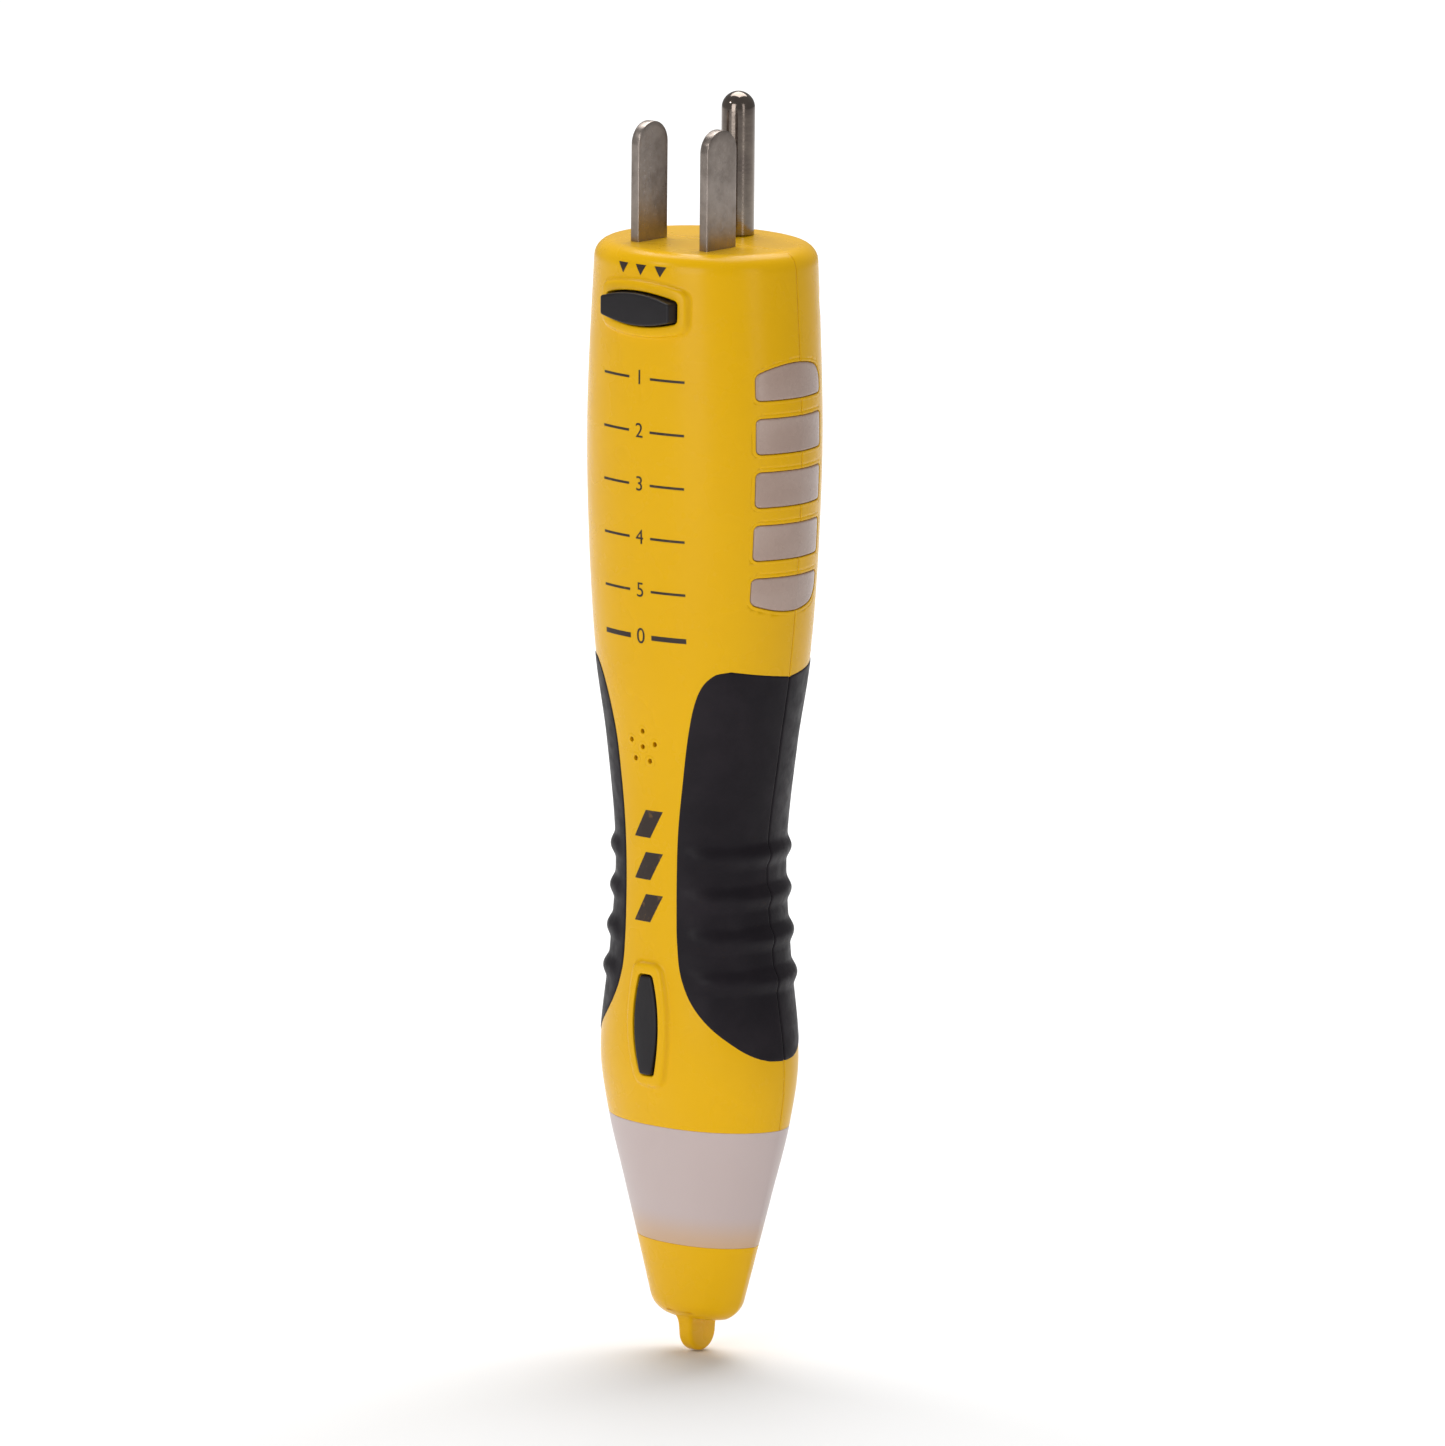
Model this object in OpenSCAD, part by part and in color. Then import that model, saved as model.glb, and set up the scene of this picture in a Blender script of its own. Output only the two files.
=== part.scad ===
// Combined outlet tester and voltage detector: plug face up, probe tip down.
// The origin is the centre of the plug face. Lengths called drop run down from that face.
// X runs across the blades and -Y is the front, where the two buttons are.

/* [Body] */
// Width of the body at the plug face
face_width = 33.0; // [32:0.1:34]
// Depth of the body at the plug face
face_depth = 28.7; // [28:0.1:29]
// Largest width of the body
shoulder_width = 35.9; // [35:0.1:37.5]
// Largest depth of the body
shoulder_depth = 28.8; // [28.6:0.1:29.6]
// Width at the waist of the grip
waist_width = 24.4; // [24.2:0.1:26]
// Depth at the waist of the grip
waist_depth = 23.3; // [23:0.1:24.5]
// Width at the belly under the grip
belly_width = 31.5; // [31:0.1:32]
// Depth at the belly under the grip
belly_depth = 22.6; // [22.4:0.1:23.5]
// Radius of the rim round the plug face
rim_radius = 2.5; // [1.5:0.1:2.6]
// Wall thickness of both shells
wall = 2.0; // [1.8:0.1:2]
// Crease at the side seam: how far each half's centre lies past the seam
crease = 1.0; // [0.5:0.1:1.5]
// Fullness of the section: 2 is an ellipse, more is squarer
fullness = 2.15; // [2:0.05:2.4]

/* [Probe end] */
// Drop to the top of the light ring
collar_drop = 126.8; // [126.5:0.1:127.5]
// Drop to the top of the probe tip
tip_drop = 144.4; // [144:0.1:145]
// Drop to the flat end of the probe tip
cap_drop = 155.9; // [155.6:0.1:156.3]
// Thickness of the sensing nub
nub_thickness = 2.4; // [2:0.1:2.6]
// Width of the sensing nub
nub_width = 5.8; // [5.4:0.1:6]
// Drop to the end of the sensing nub
nub_drop = 160.8; // [160.4:0.1:161.2]

/* [Prongs] */
// Spacing between the centres of the two blades
blade_spacing = 12.7; // [12.6:0.05:12.8]
// Distance from the blades' centre line to the ground pin
ground_offset = 11.9; // [11.8:0.05:12]
// Thickness of a blade
blade_thickness = 1.5; // [1.4:0.05:1.6]
// Width of a blade
blade_width = 6.35; // [6.2:0.05:6.5]
// How far a blade stands out of the plug face
blade_length = 17.0; // [16:0.1:18]
// Diameter of the ground pin
pin_diameter = 4.8; // [4.7:0.05:4.85]
// How far the ground pin stands out of the plug face
pin_length = 20.6; // [20:0.1:21.4]

/* [Windows] */
// Height of one light window
window_height = 5.1; // [4.9:0.1:5.5]
// Distance from one window to the next
window_pitch = 7.65; // [7.6:0.05:7.8]
// Drop to the centre of the first window
window_drop = 18.05; // [17.8:0.05:18.3]

/* [Buttons] */
// Width of the ground fault test button
gfci_width = 12.8; // [12.4:0.1:13]
// Height of the ground fault test button at its middle
gfci_height = 4.8; // [4.5:0.1:5]
// Drop to the centre of the ground fault test button
gfci_drop = 8.1; // [8:0.1:8.3]
// Height of the detector button
detector_height = 14.5; // [14:0.1:15]
// Width of the detector button at its middle
detector_width = 4.3; // [4:0.1:4.5]
// Drop to the centre of the detector button
detector_drop = 111.7; // [111.5:0.1:112.1]

/* [Grip] */
// Height of the finger ribs
rib_height = 0.7; // [0.4:0.1:0.8]
// Distance from one finger rib to the next
rib_pitch = 5.95; // [5.9:0.05:6.1]
// Depth of the rubber below the shell's surface
grip_depth = 0.9; // [0.7:0.1:1]

/* [Hidden] */
$fn = 32;

// Colours
yellow = [0.89, 0.69, 0.08];
rubber_black = [0.12, 0.11, 0.12];
window_pink = [0.63, 0.53, 0.49];
ring_milk = [0.80, 0.74, 0.71];
nickel = [0.55, 0.53, 0.50];
brass_gold = [0.80, 0.62, 0.28];
board_green = [0.10, 0.38, 0.20];
part_white = [0.90, 0.89, 0.85];
part_black = [0.08, 0.08, 0.09];

// Levels of the body: drop, half width, half depth. The surface runs smoothly through all of them.
LEVELS = [
    [0, face_width / 2, face_depth / 2],
    [25, shoulder_width / 2, shoulder_depth / 2],
    [44, shoulder_width / 2 - 0.4, shoulder_depth / 2 - 0.4],
    [60, shoulder_width / 2 - 1.8, shoulder_depth / 2 - 1.0],
    [72, (shoulder_width + waist_width) / 4 - 0.85, waist_depth / 2 + 0.45],
    [88, waist_width / 2, waist_depth / 2],
    [102, (waist_width + belly_width) / 4 - 0.5, (waist_depth + belly_depth) / 4 + 0.05],
    [117, belly_width / 2, belly_depth / 2],
    [collar_drop, belly_width / 2 - 0.8, 9.37],
    [136.5, 12.6, 7.25],
    [tip_drop, 10.45, 5.87],
    [cap_drop, 7.05, 4.5]
];
cap_radius = 2.9;
arc_steps = 16;

blade_y = -5.1;
pin_y = blade_y + ground_offset;
blade_x = blade_spacing / 2;
pin_shoulder = 0.2;

// The side windows run round the seam, from the front edge to the rear edge
window_front = -7.2;
window_rear = 5.5;
window_corner = 0.8;
window_arch = 1.4;
window_gap = 0.08;
row_count = 5;
strip_top = window_drop - window_height / 2 - 1.4;
strip_bottom = window_drop + (row_count - 1) * window_pitch + window_height / 2 + 1.4;
strip_outer = wall + 0.05;
strip_inner = wall + 1.2;

// Boards stand in the X-Z plane
board_front = -5.2;
board_back = -3.6;
tester_bottom = 56;
detector_top = 61;
detector_bottom = 124;

// Buttons: faces, retaining flanges and the raised bezels round them
gfci_face = -15.9;
gfci_flange = -10.6;
detector_face = -12.3;
detector_flange = -8.6;
flange_thickness = 0.8;
flange_reach = 0.8;
button_gap = 0.15;
button_corner = 0.35;
bezel_corner = 1.4;
bezel_rise = 0.7;

// Speaker holes: one in the middle and a ring of five, a little to the left
speaker_x = -0.8;
speaker_drop = 71.5;
speaker_ring = 2.3;
speaker_hole = 0.35;
speaker_count = 5;
speaker_turn = 3;

// Cells lie in line on an axis behind the boards
cell_y = 2.8;
cell_radius = 5.25;
cell_length = 44.5;
cell_top = 28.5;
cell_bottom = cell_top + 2 * cell_length;
spring_length = 3.6;

// Case screws: half spacing and drop of the upper and the lower pair
upper_screw = [11.8, 8.5, 6.5];
lower_screw = [10.2, 121.5, 4.4];
boss_radius = 3.3;
screw_radius = 1.3;
head_radius = 2.4;

// The battery door lies in the rear shell
door_half = 6.2;
door_top = 17.5;
door_bottom = 120;
door_gap = 0.15;
door_thickness = 1.8;
door_screw_drop = 21.5;
post_radius = 2.6;

// Finger ribs on the grips
rib_first = 87.1;
rib_count = 4;
rib_reach = 1.9;
grip_top = 59;
grip_bottom = 119;

// ---- outline of the body ----

function level_slope(i, k) =
    let (before = max(i - 1, 0), after = min(i + 1, len(LEVELS) - 1))
    (LEVELS[after][k] - LEVELS[before][k]) / (LEVELS[after][0] - LEVELS[before][0]);

function level_index(drop, i = 0) =
    i >= len(LEVELS) - 2 || drop < LEVELS[i + 1][0] ? i : level_index(drop, i + 1);

// Half width (k = 1) or half depth (k = 2) of the body at a drop, by a smooth curve through the levels
function half_size(drop, k) =
    let (
        i = level_index(drop),
        h = LEVELS[i + 1][0] - LEVELS[i][0],
        t = (drop - LEVELS[i][0]) / h
    )
    LEVELS[i][k] * (2 * t^3 - 3 * t^2 + 1) + level_slope(i, k) * h * (t^3 - 2 * t^2 + t)
    + LEVELS[i + 1][k] * (3 * t^2 - 2 * t^3) + level_slope(i + 1, k) * h * (t^3 - t^2);

// How far a quarter round of radius r draws the surface in, a distance s from where the round ends
function round_inset(r, s) = s < r ? r - sqrt(r^2 - (r - s)^2) : 0;

function edge_inset(drop) =
    round_inset(rim_radius, max(drop, 0)) + round_inset(cap_radius, max(cap_drop - drop, 0));

// One point of a half section: turn runs from 0 at the right seam over the front to 180 at the left seam
function section_point(half_w, half_d, turn) =
    let (
        seam = crease / (half_d + crease),
        start = asin(seam^(fullness / 2)),
        angle = start + (180 - 2 * start) * turn / 180,
        reach = half_w / (1 - seam^fullness)^(1 / fullness)
    )
    [
        reach * sign(cos(angle)) * abs(cos(angle))^(2 / fullness),
        crease - (half_d + crease) * sin(angle)^(2 / fullness)
    ];

// Finger ribs: full height at the seam, fading out towards the front and the back
function rib_swell(drop, turn) =
    let (
        nearest = rib_first + rib_pitch * min(max(round((drop - rib_first) / rib_pitch), 0), rib_count - 1),
        away = min(abs(drop - nearest) / rib_reach, 1),
        fade = min(max((abs(cos(turn)) - 0.3) / 0.45, 0), 1)
    )
    rib_height * (0.5 + 0.5 * cos(180 * away)) * fade * fade * (3 - 2 * fade);

// The front half ring of a section, drawn in by inset, as points at its own height
function front_ring(drop, inset, ribbed) =
    let (in = inset + edge_inset(drop), w = half_size(drop, 1) - in, d = half_size(drop, 2) - in)
    [for (i = [0:arc_steps])
        let (
            turn = 180 * i / arc_steps,
            swell = ribbed ? rib_swell(drop, turn) : 0,
            p = section_point(w + swell, d + swell, turn)
        )
        [p.x, p.y, -drop]];

function rear_ring(drop, inset, ribbed) = [for (p = front_ring(drop, inset, ribbed)) [-p.x, -p.y, p.z]];

function full_ring(drop, inset) =
    let (rear = rear_ring(drop, inset, false))
    concat(front_ring(drop, inset, false), [for (i = [1:arc_steps - 1]) rear[i]]);

// Drops of the rings between two ends, about one every step
function drops(from, to, step) =
    let (count = ceil((to - from) / step))
    [for (i = [0:count]) from + (to - from) * i / count];

// A solid through rings that run downwards
module loft(rings) {
    n = len(rings[0]);
    last = (len(rings) - 1) * n;
    sides = [
        for (j = [0:len(rings) - 2])
            for (i = [0:n - 1])
                let (a = j * n + i, b = j * n + (i + 1) % n)
                each [[a, a + n, b + n], [a, b + n, b]]
    ];
    ends = [[for (i = [0:n - 1]) i], [for (i = [n - 1:-1:0]) last + i]];
    polyhedron(points = [for (ring = rings) each ring], faces = concat(sides, ends));
}

rim_drops = [0, 0.3, 0.9, 1.6];
shell_drops = concat(rim_drops, drops(rim_radius, collar_drop, 5));

module half_body(rear, inset, levels, ribbed = false) {
    loft([for (drop = levels) rear ? rear_ring(drop, inset, ribbed) : front_ring(drop, inset, ribbed)]);
}

module whole_body(inset, levels) {
    loft([for (drop = levels) full_ring(drop, inset)]);
}

// ---- flat outlines ----

// An X-Z outline pushed along Y, and a Y-Z outline pushed along X
module along_y(from, to) {
    translate([0, to, 0]) rotate([90, 0, 0]) linear_extrude(to - from) children();
}

module along_x(from, to) {
    translate([from, 0, 0]) rotate([90, 0, 90]) linear_extrude(to - from) children();
}

// A box from two opposite corners
module slab(low, high) {
    translate(low) cube(high - low);
}

// A rod along Y, and one along X
module rod_y(x, z, r, from, to) {
    translate([x, to, z]) rotate([90, 0, 0]) cylinder(r = r, h = to - from);
}

module rod_x(y, z, r, from, to) {
    translate([from, y, z]) rotate([0, 90, 0]) cylinder(r = r, h = to - from);
}

function corner(cx, cy, r, start) = [for (a = [start:-30:start - 90]) [cx + r * cos(a), cy + r * sin(a)]];

// A rectangle with round corners whose upper and lower edges can be arched
function panel_points(x0, x1, low, high, r, arch_low = 0, arch_high = 0) =
    let (mid = (x0 + x1) / 2, half = (x1 - x0) / 2)
    concat(
        corner(x0 + r, high - arch_high - r, r, 180),
        [for (s = [-0.6:0.3:0.6]) [mid + s * half, high - arch_high * s^2]],
        corner(x1 - r, high - arch_high - r, r, 90),
        corner(x1 - r, low + arch_low + r, r, 0),
        [for (s = [0.6:-0.3:-0.6]) [mid + s * half, low + arch_low * s^2]],
        corner(x0 + r, low + arch_low + r, r, -90)
    );

// A barrel: straight ends and bowed long edges that meet in round corners. grow widens it all round.
module barrel(length, middle, ends, corner, grow = 0) {
    half = length / 2 + grow;
    near_end = [for (share = [0, 0.13, 0.5, 1]) half - share * corner];
    along = concat(-near_end, [for (s = [-0.6:0.3:0.6]) s * half], [for (i = [3:-1:0]) near_end[i]]);
    edge = [
        for (x = along)
            [x, middle / 2 + grow - (middle - ends) / 2 * (x / half)^2 - round_inset(corner, half - abs(x))]
    ];
    polygon(concat(edge, [for (i = [len(edge) - 1:-1:0]) [edge[i].x, -edge[i].y]]));
}

module gfci_outline(grow = 0) {
    translate([0, -gfci_drop]) barrel(gfci_width, gfci_height, gfci_height - 2, button_corner, grow);
}

module gfci_bezel_outline() {
    translate([0, -gfci_drop]) barrel(gfci_width + 3.4, gfci_height + 3.6, gfci_height + 1.4, bezel_corner);
}

module detector_outline(grow = 0) {
    translate([0, -detector_drop]) rotate(90)
        barrel(detector_height, detector_width, detector_width - 2.2, button_corner, grow);
}

module detector_bezel_outline() {
    translate([0, -detector_drop]) rotate(90)
        barrel(detector_height + 4, detector_width + 3.4, detector_width + 0.8, bezel_corner);
}

module window_outline(row, grow) {
    top = -window_drop - row * window_pitch + window_height / 2 + grow;
    polygon(panel_points(
        window_front - grow, window_rear + grow, top - window_height - 2 * grow, top, window_corner,
        row == row_count - 1 ? window_arch : 0, row == 0 ? window_arch : 0
    ));
}

module strip_outline() {
    polygon(panel_points(window_front - 1.1, window_rear + 1.1, -strip_bottom, -strip_top, 1));
}

// Edge of a grip seen from the front: half width and drop. The rear grips stop wider, beside the door.
function grip_edge(rear) =
    let (shift = rear ? 2.6 : 0)
    [
        [19, 61], [12.6, 59.4], [11.2, 59.7], [9.4, 61.3], [8.5, 62.9], [6.75 + shift * 0.6, 68.5],
        [5.45 + shift, 76.7], [4.5 + shift, 89], [4.65 + shift, 99.4], [5.35 + shift, 104.5],
        [6.95 + shift * 0.8, 108.2], [9.5 + shift * 0.2, 111.4], [11.9, 113.7], [13.9, 115.5],
        [14.8, 116.2], [15.3, 116.5], [19, 116.65]
    ];

module grip_outline(side, rear) {
    polygon([for (p = grip_edge(rear)) [side * p.x, -p.y]]);
}

module door_outline(grow = 0) {
    polygon(panel_points(-door_half - grow, door_half + grow, -door_bottom - grow, -door_top + grow, 1.5));
}

// ---- shells ----

module screw_places() {
    for (place = [upper_screw, lower_screw])
        for (side = [-1, 1])
            translate([side * place[0], 0, -place[1]]) children();
}

// Cavity inside both shells, with the screw bosses left standing in it
module cavity(rear) {
    difference() {
        whole_body(wall, concat([wall + 0.5, wall + 2], drops(8, collar_drop + 3, 6)));
        screw_places() rod_y(0, 0, boss_radius, rear ? 0.05 : -20, rear ? 20 : -0.05);
    }
}

module window_openings() {
    for (row = [0:row_count - 1])
        for (side = [-1, 1])
            scale([side, 1, 1]) along_x(8, 22) window_outline(row, window_gap);
}

module grip_recess(side, rear) {
    intersection() {
        difference() {
            half_body(rear, -1, drops(grip_top, grip_bottom, 6));
            whole_body(grip_depth, drops(grip_top - 1, grip_bottom + 1, 6));
        }
        along_y(-20, 20) grip_outline(side, rear);
    }
}

module bezel(drops_used) {
    intersection() {
        half_body(false, -bezel_rise, drops_used);
        children();
    }
}

module front_shell() {
    color(yellow) difference() {
        union() {
            half_body(false, 0, shell_drops);
            bezel([3, 5, 8, 11, 13.2]) along_y(-20, -11.5) gfci_bezel_outline();
            bezel(drops(102, 122.5, 4.1)) along_y(-20, -8.4) detector_bezel_outline();
        }
        cavity(false);
        for (side = [-1, 1])
            grip_recess(side, false);
        window_openings();
        along_y(-20, -5) gfci_outline(button_gap);
        along_y(-20, -5) detector_outline(button_gap);
        for (side = [-1, 1])
            slab(
                [side * blade_x - blade_thickness / 2 - 0.1, blade_y - blade_width / 2 - 0.1, -wall - 2],
                [side * blade_x + blade_thickness / 2 + 0.1, blade_y + blade_width / 2 + 0.1, 1]
            );
        translate([speaker_x, 0, -speaker_drop]) {
            rod_y(0, 0, speaker_hole, -20, -5);
            for (turn = [speaker_turn:360 / speaker_count:speaker_turn + 359])
                rod_y(speaker_ring * sin(turn), speaker_ring * cos(turn), speaker_hole, -20, -5);
        }
        screw_places() rod_y(0, 0, screw_radius + 0.05, -6, 1);
    }
}

module rear_shell() {
    color(yellow) difference() {
        half_body(true, 0, shell_drops);
        cavity(true);
        for (side = [-1, 1])
            grip_recess(side, true);
        window_openings();
        along_y(5, 20) door_outline(door_gap);
        translate([0, pin_y, -wall - 2]) cylinder(r = pin_diameter / 2 - pin_shoulder + 0.05, h = 10);
        screw_places() rod_y(0, 0, screw_radius + 0.2, -1, 20);
        for (place = [upper_screw, lower_screw])
            for (side = [-1, 1])
                rod_y(side * place[0], -place[1], head_radius + 0.25, place[2], 20);
    }
}

module grip(side, rear) {
    color(rubber_black) intersection() {
        difference() {
            half_body(rear, 0, drops(grip_top, grip_bottom, 1.2), true);
            whole_body(grip_depth, drops(grip_top - 1, grip_bottom + 1, 6));
        }
        along_y(-20, 20) grip_outline(side, rear);
    }
}

// ---- windows, ring and tip ----

// Five lenses joined behind the wall by a flange that the shells trap
module window_strip(side) {
    levels = drops(13, 54, 5);
    inner_levels = drops(12, 55, 5);
    color(window_pink) intersection() {
        union() {
            difference() {
                whole_body(0, levels);
                whole_body(strip_outer + 0.4, inner_levels);
                difference() {
                    slab([-20, -20, -56], [20, 20, -10]);
                    scale([side, 1, 1]) along_x(8, 21)
                        for (row = [0:row_count - 1])
                            window_outline(row, 0);
                }
            }
            intersection() {
                difference() {
                    whole_body(strip_outer, levels);
                    whole_body(strip_inner, inner_levels);
                }
                scale([side, 1, 1]) along_x(8, 21) strip_outline();
            }
        }
        slab([side > 0 ? 0 : -20, -20, -60], [side > 0 ? 20 : 0, 20, 0]);
    }
}

module light_ring() {
    ring_wall = 1.6;
    color(ring_milk) difference() {
        union() {
            whole_body(0, drops(collar_drop, tip_drop, 3.6));
            whole_body(wall + 0.1, [collar_drop - 2.2, collar_drop, collar_drop + 1]);
        }
        whole_body(ring_wall, drops(collar_drop + 1.5, tip_drop + 2, 3.6));
        whole_body(wall + 1.2, drops(collar_drop - 4, collar_drop + 2, 3));
    }
}

module nub_outline(half, end) {
    union() {
        translate([0, -end + half]) circle(r = half);
        translate([-half, -end + half]) square([2 * half, end - half - cap_drop + 1.6]);
    }
}

module probe_tip() {
    color(yellow) difference() {
        union() {
            whole_body(
                0, concat(drops(tip_drop, cap_drop - cap_radius, 3.1), drops(cap_drop - 1.6, cap_drop, 0.8))
            );
            whole_body(1.75, [tip_drop - 2.4, tip_drop, tip_drop + 1]);
            along_x(-nub_thickness / 2, nub_thickness / 2) nub_outline(nub_width / 2, nub_drop);
        }
        whole_body(2.8, drops(tip_drop - 3, cap_drop - 2.4, 3.1));
        slab([-0.5, -1.8, -158.6], [0.5, 1.8, -cap_drop + 4]);
    }
}

// ---- buttons ----

module gfci_button() {
    color(part_black) union() {
        along_y(gfci_face, gfci_flange) gfci_outline();
        along_y(gfci_flange, gfci_flange + flange_thickness) gfci_outline(flange_reach);
    }
}

module detector_button() {
    color(part_black) union() {
        along_y(detector_face, detector_flange) detector_outline();
        along_y(detector_flange, detector_flange + flange_thickness - 0.2) detector_outline(flange_reach);
    }
}

// A push switch standing on a board: body with a round well, and the plunger that works in it
module switch_body(z, half, top, well_radius) {
    color(part_white) difference() {
        slab([-half, top, z - half], [half, board_front, z + half]);
        rod_y(0, z, well_radius + 0.05, top - 1, top + 1.5);
    }
}

module switch_plunger(z, r, tip, depth) {
    color(part_black) rod_y(0, z, r, tip, depth);
}

// ---- prongs ----

module blade(side) {
    tip_radius = blade_width / 2;
    color(nickel) along_x(side * blade_x - blade_thickness / 2, side * blade_x + blade_thickness / 2)
        translate([blade_y, 0]) union() {
            translate([0, blade_length - tip_radius]) circle(r = tip_radius);
            translate([-tip_radius, -12]) square([blade_width, blade_length - tip_radius + 12]);
        }
}

// The pin shoulders down to a thinner shank where it enters the body
module ground_pin() {
    r = pin_diameter / 2;
    color(nickel) translate([0, pin_y, 0]) rotate_extrude() union() {
        translate([0, -13]) square([r - pin_shoulder, 14]);
        square([r, pin_length - r]);
        intersection() {
            translate([0, pin_length - r]) circle(r = r);
            square([r, pin_length]);
        }
    }
}

module ground_strap() {
    color(brass_gold) union() {
        difference() {
            slab([-3, board_back, -14], [3, pin_y + 3.4, -13]);
            translate([0, pin_y, -15]) cylinder(r = 1, h = 3);
        }
        slab([-3, board_back, -18], [3, board_back + 0.6, -13.5]);
    }
}

module blade_holder() {
    holder_back = 9.8;
    color(part_white) difference() {
        union() {
            slab([-8, -8.8, -4.4], [8, holder_back, -wall - 0.6]);
            slab([-8, board_back + 0.1, -12.6], [8, holder_back, -4]);
            for (side = [-1, 1])
                slab([side * 6.35 - 1.65, -8.8, -12.6], [side * 6.35 + 1.65, board_front - 0.1, -4]);
        }
        for (side = [-1, 1])
            slab(
                [side * blade_x - blade_thickness / 2 - 0.05, blade_y - blade_width / 2 - 0.05, -13],
                [side * blade_x + blade_thickness / 2 + 0.05, blade_y + blade_width / 2 + 0.05, 0]
            );
        translate([0, pin_y, -14]) cylinder(r = pin_diameter / 2 - pin_shoulder + 0.05, h = 14);
    }
}

// ---- fasteners and battery door ----

module case_screws() {
    color(nickel)
        for (place = [upper_screw, lower_screw])
            for (side = [-1, 1])
                translate([side * place[0], 0, -place[1]]) difference() {
                    union() {
                        rod_y(0, 0, screw_radius, -5.5, place[2] + 0.1);
                        rod_y(0, 0, head_radius, place[2], place[2] + 1.4);
                    }
                    slab([-1.4, place[2] + 0.7, -0.25], [1.4, place[2] + 2, 0.25]);
                    slab([-0.25, place[2] + 0.7, -1.4], [0.25, place[2] + 2, 1.4]);
                }
}

module battery_door() {
    levels = drops(16, 122, 6);
    color(yellow) difference() {
        intersection() {
            half_body(true, 0, levels);
            along_y(5, 20) door_outline();
        }
        whole_body(door_thickness, drops(14, 124, 6));
        rod_y(0, -door_screw_drop, 1.4, 5, 20);
        rod_y(0, -door_screw_drop, 2.6, 13.6, 20);
    }
}

module battery_door_screw() {
    color(nickel) difference() {
        union() {
            rod_y(0, -door_screw_drop, 1.2, 8, 13.65);
            rod_y(0, -door_screw_drop, 2.35, 13.6, 14.5);
        }
        slab([-1.3, 14.1, -door_screw_drop - 0.25], [1.3, 15, -door_screw_drop + 0.25]);
        slab([-0.25, 14.1, -door_screw_drop - 1.3], [0.25, 15, -door_screw_drop + 1.3]);
    }
}

// ---- batteries ----

module battery_carrier() {
    bed = cell_radius + 0.15;
    color(part_black) difference() {
        union() {
            slab([-6.5, -3.2, -cell_bottom - 5], [6.5, 1.5, -cell_top + 1.8]);
            slab([-6.5, 1, -cell_top + 0.6], [6.5, 7, -cell_top + 1.8]);
            slab([-6.5, 1, -cell_bottom - 5], [6.5, 6, -cell_bottom - 4]);
            slab([-post_radius, -3.2, -cell_top + 1], [post_radius, 1.5, -door_screw_drop + post_radius]);
            rod_y(0, -door_screw_drop, post_radius, -3.2, 12.4);
        }
        translate([0, cell_y, -cell_bottom - 4]) cylinder(r = bed, h = cell_bottom - cell_top + 4.6);
        rod_y(0, -door_screw_drop, 1.25, 7.5, 13);
    }
}

// One cell, with its positive nub upwards
module cell(top) {
    color([0.75, 0.74, 0.72]) translate([0, cell_y, -top - cell_length]) union() {
        cylinder(r = cell_radius, h = cell_length - 1.2);
        cylinder(r = 1.9, h = cell_length);
    }
}

module battery_contact() {
    color(brass_gold) slab([-3.2, -1, -cell_top], [3.2, 6.6, -cell_top + 0.5]);
}

// A coil spring, closing towards the cell
module battery_spring() {
    wire = 0.35;
    turns = 3.4;
    steps = 20;
    rings = [
        for (i = [0:turns * steps])
            let (
                share = i / (turns * steps),
                a = 360 * i / steps,
                r = 3.9 - 1.4 * (1 - share),
                z = -cell_bottom - spring_length + wire + share * (spring_length - 2 * wire)
            )
            [for (k = [0:7]) [(r + wire * cos(45 * k)) * cos(a), cell_y + (r + wire * cos(45 * k)) * sin(a),
                z + wire * sin(45 * k)]]
    ];
    color(nickel) loft([for (i = [len(rings) - 1:-1:0]) [for (k = [7:-1:0]) rings[i][k]]]);
}

// ---- boards and what stands on them ----

module tester_board() {
    notch = blade_thickness / 2 + 0.05;
    color(board_green) difference() {
        union() {
            slab([-11.2, board_front, -tester_bottom], [11.2, board_back, -13]);
            slab([-8.2, board_front, -14], [8.2, board_back, -4.6]);
        }
        for (side = [-1, 1])
            slab(
                [side * blade_x - notch, board_front - 1, -12.05],
                [side * blade_x + notch, board_back + 1, 0]
            );
    }
}

module led_row(row) {
    z = -window_drop - row * window_pitch;
    color(part_white)
        for (side = [-1, 1])
            slab([side * 9.2 - 1.1, board_front - 1.6, z - 1.5], [side * 9.2 + 1.1, board_front, z + 1.5]);
}

module gfci_test_resistor() {
    color([0.45, 0.62, 0.70]) union() {
        rod_x(board_front - 2, -18, 1.8, -4.5, 4.5);
        rod_x(board_front - 2, -18, 0.35, -6.5, 6.5);
    }
}

module tester_chip() {
    color(part_black) slab([-3, board_front - 1.6, -35.5], [3, board_front, -28]);
}

module board_resistors() {
    color(part_black)
        for (side = [-1, 1])
            for (row = [0:row_count - 1])
                slab(
                    [side * 6.2 - 0.9, board_front - 0.6, -window_drop - row * window_pitch - 3],
                    [side * 6.2 + 0.9, board_front, -window_drop - row * window_pitch - 1.8]
                );
}

module board_diodes() {
    color(part_black)
        for (i = [0:2])
            rod_x(board_front - 1.2, -39 - 3 * i, 1.1, -2.4, 2.4);
}

module board_capacitor() {
    color(part_black) rod_y(0, -51, 2.9, board_front - 5, board_front);
}

module detector_board() {
    color(board_green) slab([-6.9, board_front, -detector_bottom], [6.9, board_back, -detector_top]);
}

module detector_chip() {
    color(part_black) slab([-2.6, board_front - 1.5, -90], [2.6, board_front, -84]);
}

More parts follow.
